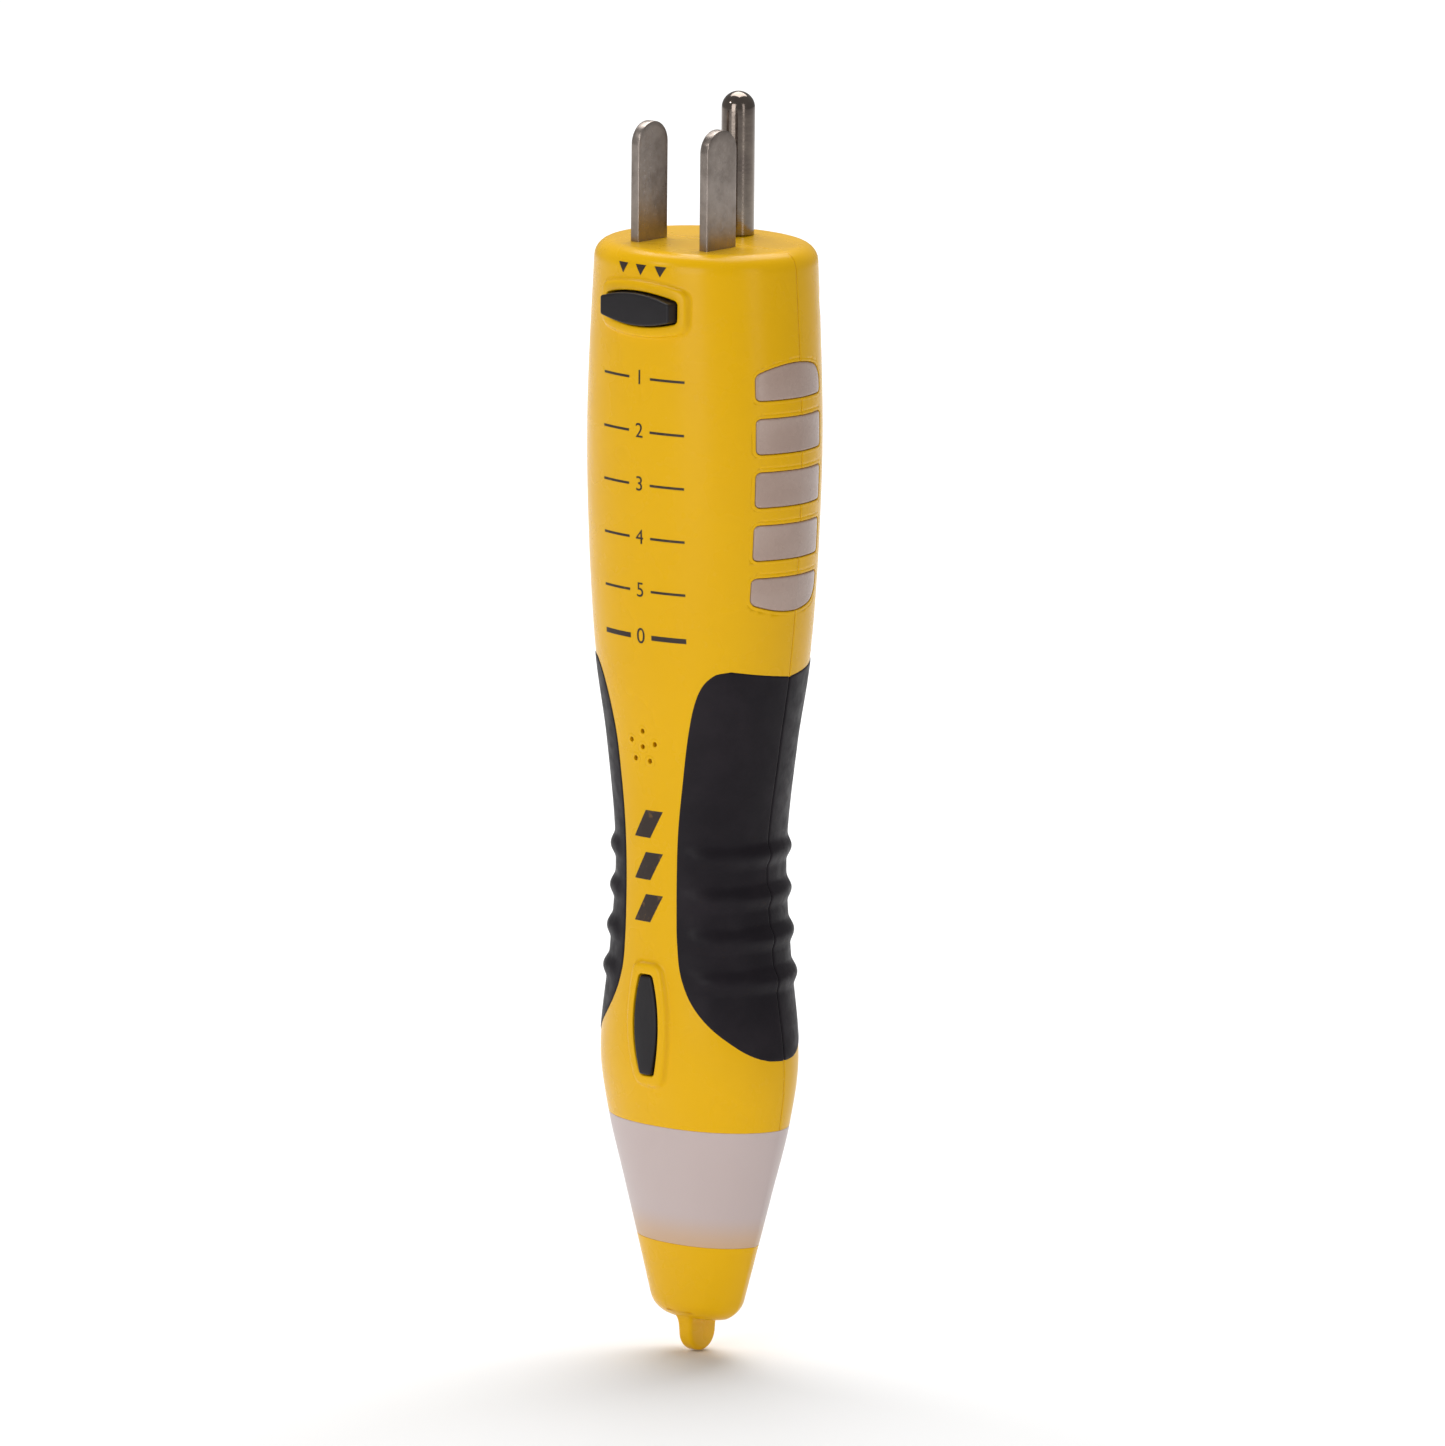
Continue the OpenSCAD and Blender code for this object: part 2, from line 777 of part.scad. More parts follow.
module buzzer() {
    color(part_black) difference() {
        rod_y(0, -72, 4.4, board_front - 4, board_front);
        rod_y(0, -72, 1, board_front - 5, board_front - 3);
    }
}

module detector_leds() {
    color(part_white)
        for (side = [-1, 1])
            slab([side * 4.8 - 1, board_front - 1.4, -123], [side * 4.8 + 1, board_front, -120.6]);
}

module sensor_antenna() {
    color(brass_gold) along_x(-0.25, 0.25)
        polygon([
            [board_front, -detector_bottom], [board_back, -detector_bottom], [1.5, -146], [1.5, -158.2],
            [-1.5, -158.2], [-1.5, -147]
        ]);
}

module board_link() {
    color(nickel)
        for (x = [-2, 0, 2])
            translate([x, board_front - 0.4, -detector_top - 2])
                cylinder(r = 0.35, h = detector_top - tester_bottom + 4);
}

// ---- nodes ----

front_shell();
rear_shell();
grip(-1, false);  // grip_front_left
grip(1, false);  // grip_front_right
grip(-1, true);  // grip_rear_left
grip(1, true);  // grip_rear_right
window_strip(-1);  // left_window_strip
window_strip(1);  // right_window_strip
light_ring();
probe_tip();
gfci_button();
detector_button();
blade(-1);  // neutral_blade
blade(1);  // hot_blade
ground_pin();
ground_strap();
blade_holder();
case_screws();
battery_door();
battery_door_screw();
battery_carrier();
cell(cell_top);  // upper_battery
cell(cell_top + cell_length);  // lower_battery
battery_contact();
battery_spring();
tester_board();
led_row(0);  // row_1_leds
led_row(1);  // row_2_leds
led_row(2);  // row_3_leds
led_row(3);  // row_4_leds
led_row(4);  // row_5_leds
switch_body(-gfci_drop, 3, -8.4, 1.5);  // gfci_switch
switch_plunger(-gfci_drop, 1.5, gfci_flange + flange_thickness, -8.0);  // gfci_switch_plunger
gfci_test_resistor();
tester_chip();
board_resistors();
board_diodes();
board_capacitor();
detector_board();
switch_body(-detector_drop, 2.6, -7.2, 1.1);  // detector_switch
switch_plunger(-detector_drop, 1.1, -8.0, -6.9);  // detector_switch_plunger
detector_chip();
buzzer();
detector_leds();
sensor_antenna();
board_link();
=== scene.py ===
"""Looks of the outlet tester plug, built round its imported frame.

Lengths below are millimetres unless a name ends in _m. "drop" is the distance down from the plug face.
-Y is the front with the buttons, +X the side of the hot blade.
"""
import math

import bpy
import numpy as np
from mathutils import Matrix, Vector


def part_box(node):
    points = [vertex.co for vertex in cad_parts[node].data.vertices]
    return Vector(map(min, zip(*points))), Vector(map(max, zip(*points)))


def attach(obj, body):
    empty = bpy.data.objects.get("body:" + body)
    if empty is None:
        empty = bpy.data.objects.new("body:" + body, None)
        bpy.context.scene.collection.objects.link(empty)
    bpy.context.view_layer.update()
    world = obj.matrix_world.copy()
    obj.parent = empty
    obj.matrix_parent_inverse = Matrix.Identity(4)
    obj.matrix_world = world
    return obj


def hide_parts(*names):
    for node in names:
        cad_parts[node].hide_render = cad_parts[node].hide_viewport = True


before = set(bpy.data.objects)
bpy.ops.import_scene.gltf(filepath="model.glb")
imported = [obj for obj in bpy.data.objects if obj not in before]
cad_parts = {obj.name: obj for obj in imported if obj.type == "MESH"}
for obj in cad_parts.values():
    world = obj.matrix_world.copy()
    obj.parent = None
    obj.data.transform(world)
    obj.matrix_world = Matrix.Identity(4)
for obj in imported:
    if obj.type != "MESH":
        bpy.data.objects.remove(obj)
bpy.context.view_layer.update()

MM = 0.001
TINY = 1e-12  # keeps a division by a length of nothing apart from zero


def box_mm(node):
    """The lowest and highest corners of a CAD node, in millimetres."""
    low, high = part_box(node)
    return np.array(low) / MM, np.array(high) / MM


# ---- Shape of the body ----

SHELL_LOW, SHELL_HIGH = box_mm("rear_shell")
HALF_WIDTH = SHELL_HIGH[0]
HALF_DEPTH = box_mm("battery_door")[1][1]
COLLAR = -SHELL_LOW[2]
TIP = -box_mm("light_ring")[0][2]
NUB_END = -box_mm("probe_tip")[0][2]
NUB_LENGTH = 4.9
CAP_END = NUB_END - NUB_LENGTH

# Drop, half width and half depth. The surface runs smoothly through all of them.
LEVELS = np.array([
    [0, HALF_WIDTH - 1.45, HALF_DEPTH - 0.05],
    [25, HALF_WIDTH, HALF_DEPTH],
    [44, HALF_WIDTH - 0.4, HALF_DEPTH - 0.4],
    [60, HALF_WIDTH - 1.8, HALF_DEPTH - 1.0],
    [72, HALF_WIDTH - 3.7, HALF_DEPTH - 2.3],
    [88, HALF_WIDTH - 5.75, HALF_DEPTH - 2.75],
    [102, HALF_WIDTH - 4.48, HALF_DEPTH - 2.87],
    [117, HALF_WIDTH - 2.2, HALF_DEPTH - 3.1],
    [COLLAR, HALF_WIDTH - 3.0, HALF_DEPTH - 5.03],
    [136.5, HALF_WIDTH - 5.35, HALF_DEPTH - 7.15],
    [TIP, HALF_WIDTH - 7.5, HALF_DEPTH - 8.53],
    [CAP_END, HALF_WIDTH - 10.9, HALF_DEPTH - 9.9],
])
RIM = 2.5
CAP_ROUND = 2.9
CREASE = 1.0
CLOSED = 0.001  # share at which a ring drawn to its middle counts as closed
FULLNESS = 2.15  # exponent of the section's curve: 2 would be an ellipse
WALL = 2.0
SEAM_ROUND = 0.22
FACE_SEAM_ROUND = 0.15
END_ROUND = 0.09
# Distances of the rows next to a rounded end
END_STEPS = END_ROUND * np.array([0, 0.02, 0.1, 0.25, 0.45, 0.7, 1.0, 1.5])


def quarter_round(radius, distance):
    """How far a round of this radius draws a surface in, at a distance from its edge."""
    short = np.clip(radius - np.asarray(distance, float), 0, radius)
    return radius - np.sqrt(radius ** 2 - short ** 2)


def curve_through(x, at, value, slope):
    """A smooth cubic curve that has each value and slope at its place."""
    i = np.clip(np.searchsorted(at, x, side="right") - 1, 0, len(at) - 2)
    gap = at[i + 1] - at[i]
    t = (x - at[i]) / gap
    return (value[i] * (2 * t ** 3 - 3 * t ** 2 + 1) + slope[i] * gap * (t ** 3 - 2 * t ** 2 + t)
            + value[i + 1] * (3 * t ** 2 - 2 * t ** 3) + slope[i + 1] * gap * (t ** 3 - t ** 2))


def half_size(drop, column):
    """Half width (column 1) or half depth (column 2) at each drop, by a smooth curve through LEVELS."""
    at, size = LEVELS[:, 0], LEVELS[:, column]
    slope = np.empty(len(at))
    slope[1:-1] = (size[2:] - size[:-2]) / (at[2:] - at[:-2])
    slope[0] = (size[1] - size[0]) / (at[1] - at[0])
    slope[-1] = (size[-1] - size[-2]) / (at[-1] - at[-2])
    return curve_through(np.asarray(drop, float), at, size, slope)


def section(drop, height):
    """The two half axes of the body's section, grown by height, and the angle where the seam cuts them."""
    edge = quarter_round(RIM, drop) + quarter_round(CAP_ROUND, CAP_END - np.asarray(drop, float))
    width = half_size(drop, 1) + height - edge
    depth = half_size(drop, 2) + height - edge + CREASE
    seam = CREASE / depth
    return width / (1 - seam ** FULLNESS) ** (1 / FULLNESS), depth, np.arcsin(seam ** (FULLNESS / 2))


def on_body(drop, turn, height=0.0, side=-1):
    """Points of the body's surface. turn runs from 0 at the right seam to pi at the left one."""
    drop, turn, height = np.broadcast_arrays(np.asarray(drop, float), turn, height)
    width, depth, start = section(drop, height)
    angle = start + (np.pi - 2 * start) * turn / np.pi
    x = width * np.sign(np.cos(angle)) * np.abs(np.cos(angle)) ** (2 / FULLNESS)
    y = depth * np.sin(angle) ** (2 / FULLNESS) - CREASE
    return np.stack([x, side * y, -drop], axis=-1)


def on_face(x, z, height=0.0, side=-1):
    """Points of the front (side -1) or rear (side 1) at a given x and z."""
    x, z, height = np.broadcast_arrays(np.asarray(x, float), z, height)
    width, depth, _ = section(-z, height)
    share = np.clip(np.abs(x) / width, 0, 1)
    y = depth * (1 - share ** FULLNESS) ** (1 / FULLNESS) - CREASE
    return np.stack([x, side * y, z], axis=-1)


def on_rear(x, z, height=0.0):
    """Points of the rear at a given x and z."""
    return on_face(x, z, height, 1)


def on_flank(y, z, height=0.0, side=1):
    """Points of the right (side 1) or left (side -1) flank at a given y and z."""
    y, z, height = np.broadcast_arrays(np.asarray(y, float), z, height)
    width, depth, _ = section(-z, height)
    share = np.clip((CREASE + np.abs(y)) / depth, 0, 1)
    x = width * (1 - share ** FULLNESS) ** (1 / FULLNESS)
    return np.stack([side * x, y, z], axis=-1)


# ---- Mesh building ----

class Surface:
    """Collects points in millimetres and faces, and turns them into one mesh object in metres."""

    def __init__(self):
        self.points = []
        self.faces = []
        self.count = 0

    def add(self, points, faces):
        points = np.asarray(points, float).reshape(-1, 3)
        self.points.append(points)
        self.faces.extend([tuple(int(k) + self.count for k in face) for face in faces])
        self.count += len(points)

    def grid(self, points, closed=False, flip=False):
        """A grid of rows and columns. closed joins the last column to the first."""
        rows, columns = points.shape[:2]
        self.add(points, grid_faces(rows, columns, closed, flip))

    def build(self, name, material):
        mesh = bpy.data.meshes.new(name)
        mesh.from_pydata((np.concatenate(self.points) * MM).tolist(), [], self.faces)
        mesh.validate()
        mesh.materials.append(material)
        mesh.shade_smooth()
        piece = bpy.data.objects.new(name, mesh)
        bpy.context.scene.collection.objects.link(piece)
        return piece


def grid_faces(rows, columns, closed=False, flip=False):
    faces = []
    for r in range(rows - 1):
        for c in range(columns if closed else columns - 1):
            a, b = r * columns + c, r * columns + (c + 1) % columns
            face = (a, b, b + columns, a + columns)
            faces.append(face[::-1] if flip else face)
    return faces


def finished(surface, name, material, body, node):
    """Builds a surface as a piece that rides on a body in the place of a CAD node."""
    piece = surface.build(name, material)
    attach(piece, body)
    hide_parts(node)


def thicken(surface, outer, inner, faces):
    """Adds a wall: outer faces, inner faces turned over, and a rim along every open edge."""
    outer, inner = outer.reshape(-1, 3), inner.reshape(-1, 3)
    count = len(outer)
    edges = dict.fromkeys((a, b) for face in faces for a, b in zip(face, face[1:] + face[:1]))
    rim = [(b, a, a + count, b + count) for a, b in edges if (b, a) not in edges]
    back = [tuple(k + count for k in face[::-1]) for face in faces]
    surface.add(np.concatenate([outer, inner]), list(faces) + back + rim)


def inside(points, outline, grow=0.0):
    """Which flat points lie in a closed outline, or within grow of it."""
    a, b = outline, np.roll(outline, -1, axis=0)
    p = points[:, None, :]
    along = b - a
    share = np.clip(((p - a) * along).sum(-1) / np.maximum((along ** 2).sum(-1), TINY), 0, 1)
    gap = np.linalg.norm(p - (a + share[..., None] * along), axis=-1).min(axis=1)
    crosses = (a[:, 1] > p[..., 1]) != (b[:, 1] > p[..., 1])
    step = np.where(np.abs(along[:, 1]) < TINY, TINY, along[:, 1])
    left = p[..., 0] < along[:, 0] * (p[..., 1] - a[:, 1]) / step + a[:, 0]
    return ((crosses & left).sum(axis=1) % 2 == 1) | (gap < grow), gap


def outward(outline):
    """Unit normals that point out of a closed outline run clockwise or anticlockwise."""
    along = np.roll(outline, -1, axis=0) - np.roll(outline, 1, axis=0)
    normal = np.stack([along[:, 1], -along[:, 0]], axis=1)
    normal /= np.linalg.norm(normal, axis=1)[:, None]
    area = np.sum(outline[:, 0] * np.roll(outline[:, 1], -1) - np.roll(outline[:, 0], -1) * outline[:, 1])
    return normal * np.sign(area)


def even(outline, spacing):
    """The closed outline again, with points about one spacing apart."""
    closed = np.vstack([outline, outline[:1]])
    length = np.concatenate([[0], np.cumsum(np.linalg.norm(np.diff(closed, axis=0), axis=1))])
    at = np.linspace(0, length[-1], max(int(length[-1] / spacing), 24), endpoint=False)
    return np.stack([np.interp(at, length, closed[:, k]) for k in (0, 1)], axis=1)


def ring_rows(outline, profile, place):
    """One ring of points for each (offset, height) of a profile, placed on the body."""
    normal = outward(outline)
    return np.stack([place(*(outline + offset * normal).T, height) for offset, height in profile])


def cap_rows(outline, profile, place, fill):
    """As ring_rows, with the last ring drawn together to the outline's middle in fill steps."""
    rows = ring_rows(outline, profile, place)
    offset, height = profile[-1]
    last = outline + offset * outward(outline)
    middle = (last.max(axis=0) + last.min(axis=0)) / 2
    shares = np.linspace(1, CLOSED, fill)[1:]
    inner = [place(*(middle + share * (last - middle)).T, height) for share in shares]
    return np.concatenate([rows, np.stack(inner)])


def round_profile(radius, top, steps=5):
    """(offset, height) pairs round a convex edge, from the wall at offset 0 to the flat at the radius."""
    turns = np.linspace(0, np.pi / 2, steps)
    return [(radius * (1 - math.cos(t)), top - radius * (1 - math.sin(t))) for t in turns]


def slab_rows(outline, spine, middle, half, edge, steps, widen=0.0):
    """A flat plate of the outline, half as thick each way from x = middle, with all its edges rounded."""
    inward = spine - outline
    inward /= np.linalg.norm(inward, axis=1)[:, None]
    turns = np.linspace(0, np.pi / 2, steps)
    rows = []
    for side in (-1, 1):
        for turn in turns[::-side]:
            flat = outline + inward * edge * (1 - math.sin(turn))
            x = middle + side * (half - edge + edge * math.cos(turn) + widen)
            rows.append(np.stack([x + 0 * flat[:, 0], flat[:, 0], flat[:, 1]], axis=1))
    return np.array(rows)


# ---- Outlines ----

def panel(x0, x1, low, high, radius, arch_low=0.0, arch_high=0.0, far_radius=None):
    """A rectangle with round corners. An arched edge falls away towards both ends, and its corner at x1
    has the far radius."""
    middle, half = (x0 + x1) / 2, (x1 - x0) / 2
    edges = []
    for arch in (arch_high, arch_low):
        far = far_radius if arch and far_radius else radius
        turns = np.linspace(0, np.pi / 2, 9)
        left = x0 + radius * (1 - np.cos(turns))
        right = x1 - far * (1 - np.cos(turns[::-1]))
        x = np.concatenate([left, np.linspace(left[-1], right[0], 17)[1:-1], right])
        round_off = quarter_round(radius, x - x0) + quarter_round(far, x1 - x)
        edges.append((x, arch * ((x - middle) / half) ** 2 + round_off))
    (upper_x, upper), (lower_x, lower) = edges
    return np.concatenate([
        np.stack([upper_x, high - upper], axis=1), np.stack([lower_x, low + lower], axis=1)[::-1],
    ])


def barrel(length, middle, ends, corner):
    """Straight ends joined by bowed long edges, with round corners. The count of points never changes."""
    turns = np.linspace(0, np.pi / 2, 8)
    inner = length / 2 - corner
    near_end = inner + corner * np.sin(turns)
    along = np.concatenate([-near_end[::-1], np.linspace(-inner, inner, 33)[1:-1], near_end])
    soft = quarter_round(corner, length / 2 - np.abs(along))
    across = middle / 2 - (middle - ends) / 2 * (2 * along / length) ** 2 - soft
    upper = np.stack([along, across], axis=1)
    end_across = across[-1] * np.linspace(1, -1, 7)[1:-1]
    end = np.stack([np.full(len(end_across), length / 2), end_across], axis=1)
    return np.concatenate([upper, end, upper[::-1] * [1, -1], end[::-1] * [-1, 1]])


def circle(x, z, radius, steps=28):
    turns = np.radians(np.linspace(0, 360, steps, endpoint=False))
    return np.stack([x + radius * np.cos(turns), z + radius * np.sin(turns)], axis=1)


FLANGE = 0.8
BUTTON_GAP = 0.15
BUTTON_CORNER = 0.35
BEZEL_CORNER = 1.4
ALL_ROUND = np.array([2, 2, 2, 1])  # what a barrel's sizes gain when it grows by one all round


class Button:
    """Where a barrel-shaped button lies on the front, and the bezel round it.

    waist is how much its ends are smaller than its middle. margins are what the bezel adds to its length,
    middle and ends. crown is how far its face falls away to the sides, and to its top and bottom.
    """

    def __init__(self, name, upright, waist, margins, crown):
        self.name, self.upright, self.crown = name, upright, crown
        self.low, self.high = box_mm(name)
        width, _, height = self.high - self.low - 2 * FLANGE
        length, middle = (height, width) if upright else (width, height)
        self.sizes = np.array([length, middle, middle - waist, BUTTON_CORNER])
        self.bezel = np.append(self.sizes[:3] + margins, BEZEL_CORNER)

    def laid(self, sizes):
        flat = barrel(*sizes)
        return (flat[:, ::-1] if self.upright else flat) + [0, (self.low[2] + self.high[2]) / 2]

    def outline(self, grow=0.0):
        """The outline of the button itself, or one that lies further out all round."""
        return self.laid(self.sizes + grow * ALL_ROUND)

    def frame(self, share):
        """From the edge of the hole (share 0) to the bezel's outer edge (share 1), or a little past it."""
        hole = self.sizes + BUTTON_GAP * ALL_ROUND
        return self.laid(hole + (self.bezel - hole) * share)


BUTTONS = [
    Button("gfci_button", False, 2.0, (3.4, 3.6, 3.4), (0.06, 0.04)),
    Button("detector_button", True, 2.2, (4.0, 3.4, 3.0), (0.15, 0.05)),
]


LED_LOW, LED_HIGH = box_mm("row_1_leds")
WINDOW_DROP = -(LED_LOW[2] + LED_HIGH[2]) / 2
WINDOW_PITCH = LED_LOW[2] - box_mm("row_2_leds")[0][2]
WINDOW_HEIGHT = 5.1
WINDOW_FRONT = -7.2
WINDOW_REAR = 5.5
WINDOW_ARCH = 1.4
WINDOW_CORNER = 0.7
WINDOW_FAR_CORNER = 2.0
WINDOW_GAP = 0.07
WINDOW_SPACING = 0.3
ROWS = 5


def window_outline(row, grow=0.0):
    """Y-Z outline of a side window. The first is arched above and the last below."""
    top = -WINDOW_DROP - row * WINDOW_PITCH + WINDOW_HEIGHT / 2 + grow
    outline = panel(
        WINDOW_FRONT - grow, WINDOW_REAR + grow, top - WINDOW_HEIGHT - 2 * grow, top, WINDOW_CORNER + grow,
        WINDOW_ARCH if row == ROWS - 1 else 0.0, WINDOW_ARCH if row == 0 else 0.0, WINDOW_FAR_CORNER)
    return even(outline, WINDOW_SPACING)


DOOR_LOW, DOOR_HIGH = box_mm("battery_door")
DOOR_CORNER = 1.5
DOOR_SPACING = 0.5
DOOR_GAP = 0.15


def door_outline(grow=0.0):
    outline = panel(DOOR_LOW[0] - grow, DOOR_HIGH[0] + grow, DOOR_LOW[2] - grow, DOOR_HIGH[2] + grow,
                    DOOR_CORNER + grow)
    return even(outline, DOOR_SPACING)


SPEAKER_X = -0.8
SPEAKER_DROP = 71.5
SPEAKER_RING = 2.3
SPEAKER_HOLE = 0.36
SPEAKER_COUNT = 5
SPEAKER_TURN = 3.0


def speaker_outlines():
    """Six sound holes: one in the middle and five round it."""
    turns = np.radians(360 / SPEAKER_COUNT * np.arange(SPEAKER_COUNT) + SPEAKER_TURN)
    centres = [(0.0, 0.0)] + [(SPEAKER_RING * math.sin(t), SPEAKER_RING * math.cos(t)) for t in turns]
    return [circle(SPEAKER_X + x, z - SPEAKER_DROP, SPEAKER_HOLE) for x, z in centres]


SCREW_RECESS = 2.65
SCREW_RECESS_POINTS = 40
SCREW_HOLE = 1.5
SCREW_SEAT = 2.2
# x, drop and floor height of each pair of case screws
SCREWS = [(11.8, 8.5, 6.5), (10.2, 121.5, 4.4)]


# ---- Materials ----

def srgb(red, green, blue):
    """A linear colour from 0-255 display values."""
    shares = [c / 255 for c in (red, green, blue)]
    return tuple(s / 12.92 if s <= 0.04045 else ((s + 0.055) / 1.055) ** 2.4 for s in shares) + (1.0,)


# Most of a noise texture lies between these values
NOISE_LOW = 0.3
NOISE_HIGH = 0.7
# Height in mm of the painted warm light above the light ring's lower edge
PAINTED_WARM_LIGHT_REACH = 5
# Height in mm over which the blades' root tint fades: partly brass, partly a painted reflection of the
# yellow plug face
ROOT_TINT_AND_REFLECTION_REACH = 8


class Finish:
    """A node material round one Principled shader, with helpers for the usual layers."""

    def __init__(self, name, **values):
        self.material = bpy.data.materials.new(name)
        self.material.use_nodes = True
        self.tree = self.material.node_tree
        self.shader = next(n for n in self.tree.nodes if n.type == "BSDF_PRINCIPLED")
        for socket, value in values.items():
            self.shader.inputs[socket.replace("_", " ")].default_value = value
        self.place = self.tree.nodes.new("ShaderNodeTexCoord").outputs["Object"]

    def node(self, kind, **inputs):
        node = self.tree.nodes.new(kind)
        for socket, value in inputs.items():
            self.feed(node.inputs[socket.replace("_", " ")], value)
        return node

    def feed(self, socket, value):
        if isinstance(value, bpy.types.NodeSocket):
            self.tree.links.new(value, socket)
        else:
            socket.default_value = value

    def stretched(self, scale):
        mapping = self.node("ShaderNodeMapping", Vector=self.place)
        mapping.inputs["Scale"].default_value = scale
        return mapping.outputs["Vector"]

    def noise(self, scale, detail=4.0, roughness=0.55, where=None):
        node = self.node("ShaderNodeTexNoise", Vector=where or self.place, Scale=scale, Detail=detail,
                         Roughness=roughness)
        return node.outputs["Fac"]

    def ranged(self, value, out_low, out_high, low=NOISE_LOW, high=NOISE_HIGH):
        """A smooth step from out_low to out_high while the value runs from low to high."""
        node = self.node("ShaderNodeMapRange", Value=value)
        node.interpolation_type = "SMOOTHSTEP"
        ends = {"From Min": low, "From Max": high, "To Min": out_low, "To Max": out_high}
        for socket, number in ends.items():
            node.inputs[socket].default_value = number
        return node.outputs["Result"]

    def mixed(self, share, first, second):
        node = self.node("ShaderNodeMix")
        node.data_type = "RGBA"
        self.feed(node.inputs["Factor"], share)
        self.feed(node.inputs[6], first)
        self.feed(node.inputs[7], second)
        return node.outputs[2]

    def math(self, operation, first, second):
        node = self.node("ShaderNodeMath")
        node.operation = operation
        self.feed(node.inputs[0], first)
        self.feed(node.inputs[1], second)
        return node.outputs[0]

    def colour(self, value):
        self.feed(self.shader.inputs["Base Color"], value)

    def rough(self, value):
        self.feed(self.shader.inputs["Roughness"], value)

    def bumps(self, *layers):
        """Stacks bump layers of (height, distance, strength)."""
        normal = None
        for height, distance, strength in layers:
            bump = self.node("ShaderNodeBump", Height=height, Distance=distance * MM, Strength=strength)
            if normal is not None:
                self.feed(bump.inputs["Normal"], normal)
            normal = bump.outputs["Normal"]
        self.feed(self.shader.inputs["Normal"], normal)

    def height_mm(self):
        """The z coordinate in millimetres."""
        split = self.node("ShaderNodeSeparateXYZ", Vector=self.place)
        return self.math("MULTIPLY", split.outputs["Z"], 1 / MM)


def yellow_plastic():
    """Semi-gloss moulded plastic with slight flow marks, a fine spark grain and soft handling wear."""
    f = Finish("yellow_plastic", Specular_IOR_Level=0.2, IOR=1.49)
    f.colour(f.mixed(f.noise(60, 3), srgb(226, 172, 0), srgb(232, 180, 4)))
    wear = f.ranged(f.noise(420, 6, 0.7), 0.0, 0.06, 0.55, 0.75)
    cloud = f.ranged(f.noise(90, 3), 0.24, 0.30)
    f.rough(f.math("ADD", wear, cloud))
    f.bumps((f.noise(2600, 2), 0.01, 0.25), (f.noise(240, 2), 0.04, 0.10))
    return f.material


def black_rubber():
    """Overmoulded rubber: dull, with an eroded grain and lighter rubbed patches."""
    f = Finish("black_rubber", Specular_IOR_Level=0.13)
    f.colour(f.mixed(f.ranged(f.noise(130, 4), 0, 1, 0.35, 0.75), srgb(26, 22, 27), srgb(35, 30, 35)))
    f.rough(f.ranged(f.noise(500, 5), 0.40, 0.54))
    f.bumps((f.noise(1900, 3), 0.06, 0.35), (f.noise(160, 2), 0.12, 0.12))
    return f.material


def button_plastic():
    """Black satin plastic of the two buttons, polished a little where fingers press."""
    f = Finish("button_plastic", Specular_IOR_Level=0.3)
    f.colour(f.mixed(f.noise(300, 4), srgb(24, 21, 24), srgb(32, 29, 32)))
    f.rough(f.ranged(f.noise(180, 4), 0.33, 0.47))
    f.bumps((f.noise(2200, 3), 0.04, 0.3), (f.noise(300, 2), 0.06, 0.1))
    return f.material


def window_plastic():
    """Tinted milky light windows, glossy, a little lighter towards the middle of the strip."""
    f = Finish("window_plastic", Specular_IOR_Level=0.4, IOR=1.5, Coat_Weight=0.25, Coat_Roughness=0.12)
    streak = f.noise(60, 2, 0.5, f.stretched((1, 1, 2)))
    f.colour(f.mixed(f.ranged(streak, 0, 1), srgb(166, 142, 130), srgb(178, 156, 145)))
    f.rough(f.ranged(f.noise(500, 4), 0.22, 0.32))
    f.bumps((f.noise(500, 2), 0.02, 0.1))
    return f.material


def ring_plastic():
    """Milky translucent light ring, with painted light that turns it warmer towards its lower edge."""
    f = Finish("ring_plastic", IOR=1.5, Specular_IOR_Level=0.4)
    # Painted light: the colour turns warmer over the lowest few millimetres of the ring
    warm = f.ranged(f.height_mm(), 1, 0, -TIP, -TIP + PAINTED_WARM_LIGHT_REACH)
    milk = f.mixed(f.noise(60, 2), srgb(190, 173, 170), srgb(197, 181, 178))
    f.colour(f.mixed(f.math("MULTIPLY", warm, 0.6), milk, srgb(206, 162, 104)))
    f.rough(f.ranged(f.noise(120, 2), 0.30, 0.36))
    f.bumps((f.noise(150, 2), 0.04, 0.06))
    return f.material


def nickel_plate():
    """Satin nickel plating over brass: fine grain, faint lengthwise lines, and a warm tint at the root,
    partly brass and partly a painted reflection of the yellow plug face.
    """
    f = Finish("nickel_plate", Metallic=1.0)
    lines = f.noise(600, 4, 0.6, f.stretched((6, 6, 0.3)))
    grain = f.noise(1800, 5, 0.7)
    cloud = f.noise(240, 5, 0.65)
    grey = f.mixed(f.ranged(cloud, 0, 1), srgb(136, 126, 119), srgb(168, 157, 149))
    # Tint near the plug face: partly brass, partly a painted reflection of the yellow plug face
    near_root = f.ranged(f.height_mm(), 1, 0, 0, ROOT_TINT_AND_REFLECTION_REACH)
    root = f.math("MULTIPLY", near_root, f.ranged(cloud, 0.05, 0.3, 0.35, 0.6))
    f.colour(f.mixed(root, grey, srgb(148, 122, 88)))
    f.rough(f.math("ADD", f.ranged(lines, 0.26, 0.34), f.ranged(grain, 0, 0.14, 0.4, 0.7)))
    f.bumps((lines, 0.01, 0.2), (grain, 0.03, 0.3))
    return f.material


def pin_metal():
    """Polished nickel of the round pin, brassier than the blades."""
    f = Finish("pin_metal", Metallic=1.0)
    f.colour(f.mixed(f.ranged(f.noise(150, 4), 0, 1), srgb(112, 102, 96), srgb(144, 133, 122)))
    f.rough(f.ranged(f.noise(800, 4, 0.6, f.stretched((1, 1, 5))), 0.10, 0.20))
    f.bumps((f.noise(600, 3, 0.5, f.stretched((1, 1, 4))), 0.04, 0.25))
    return f.material


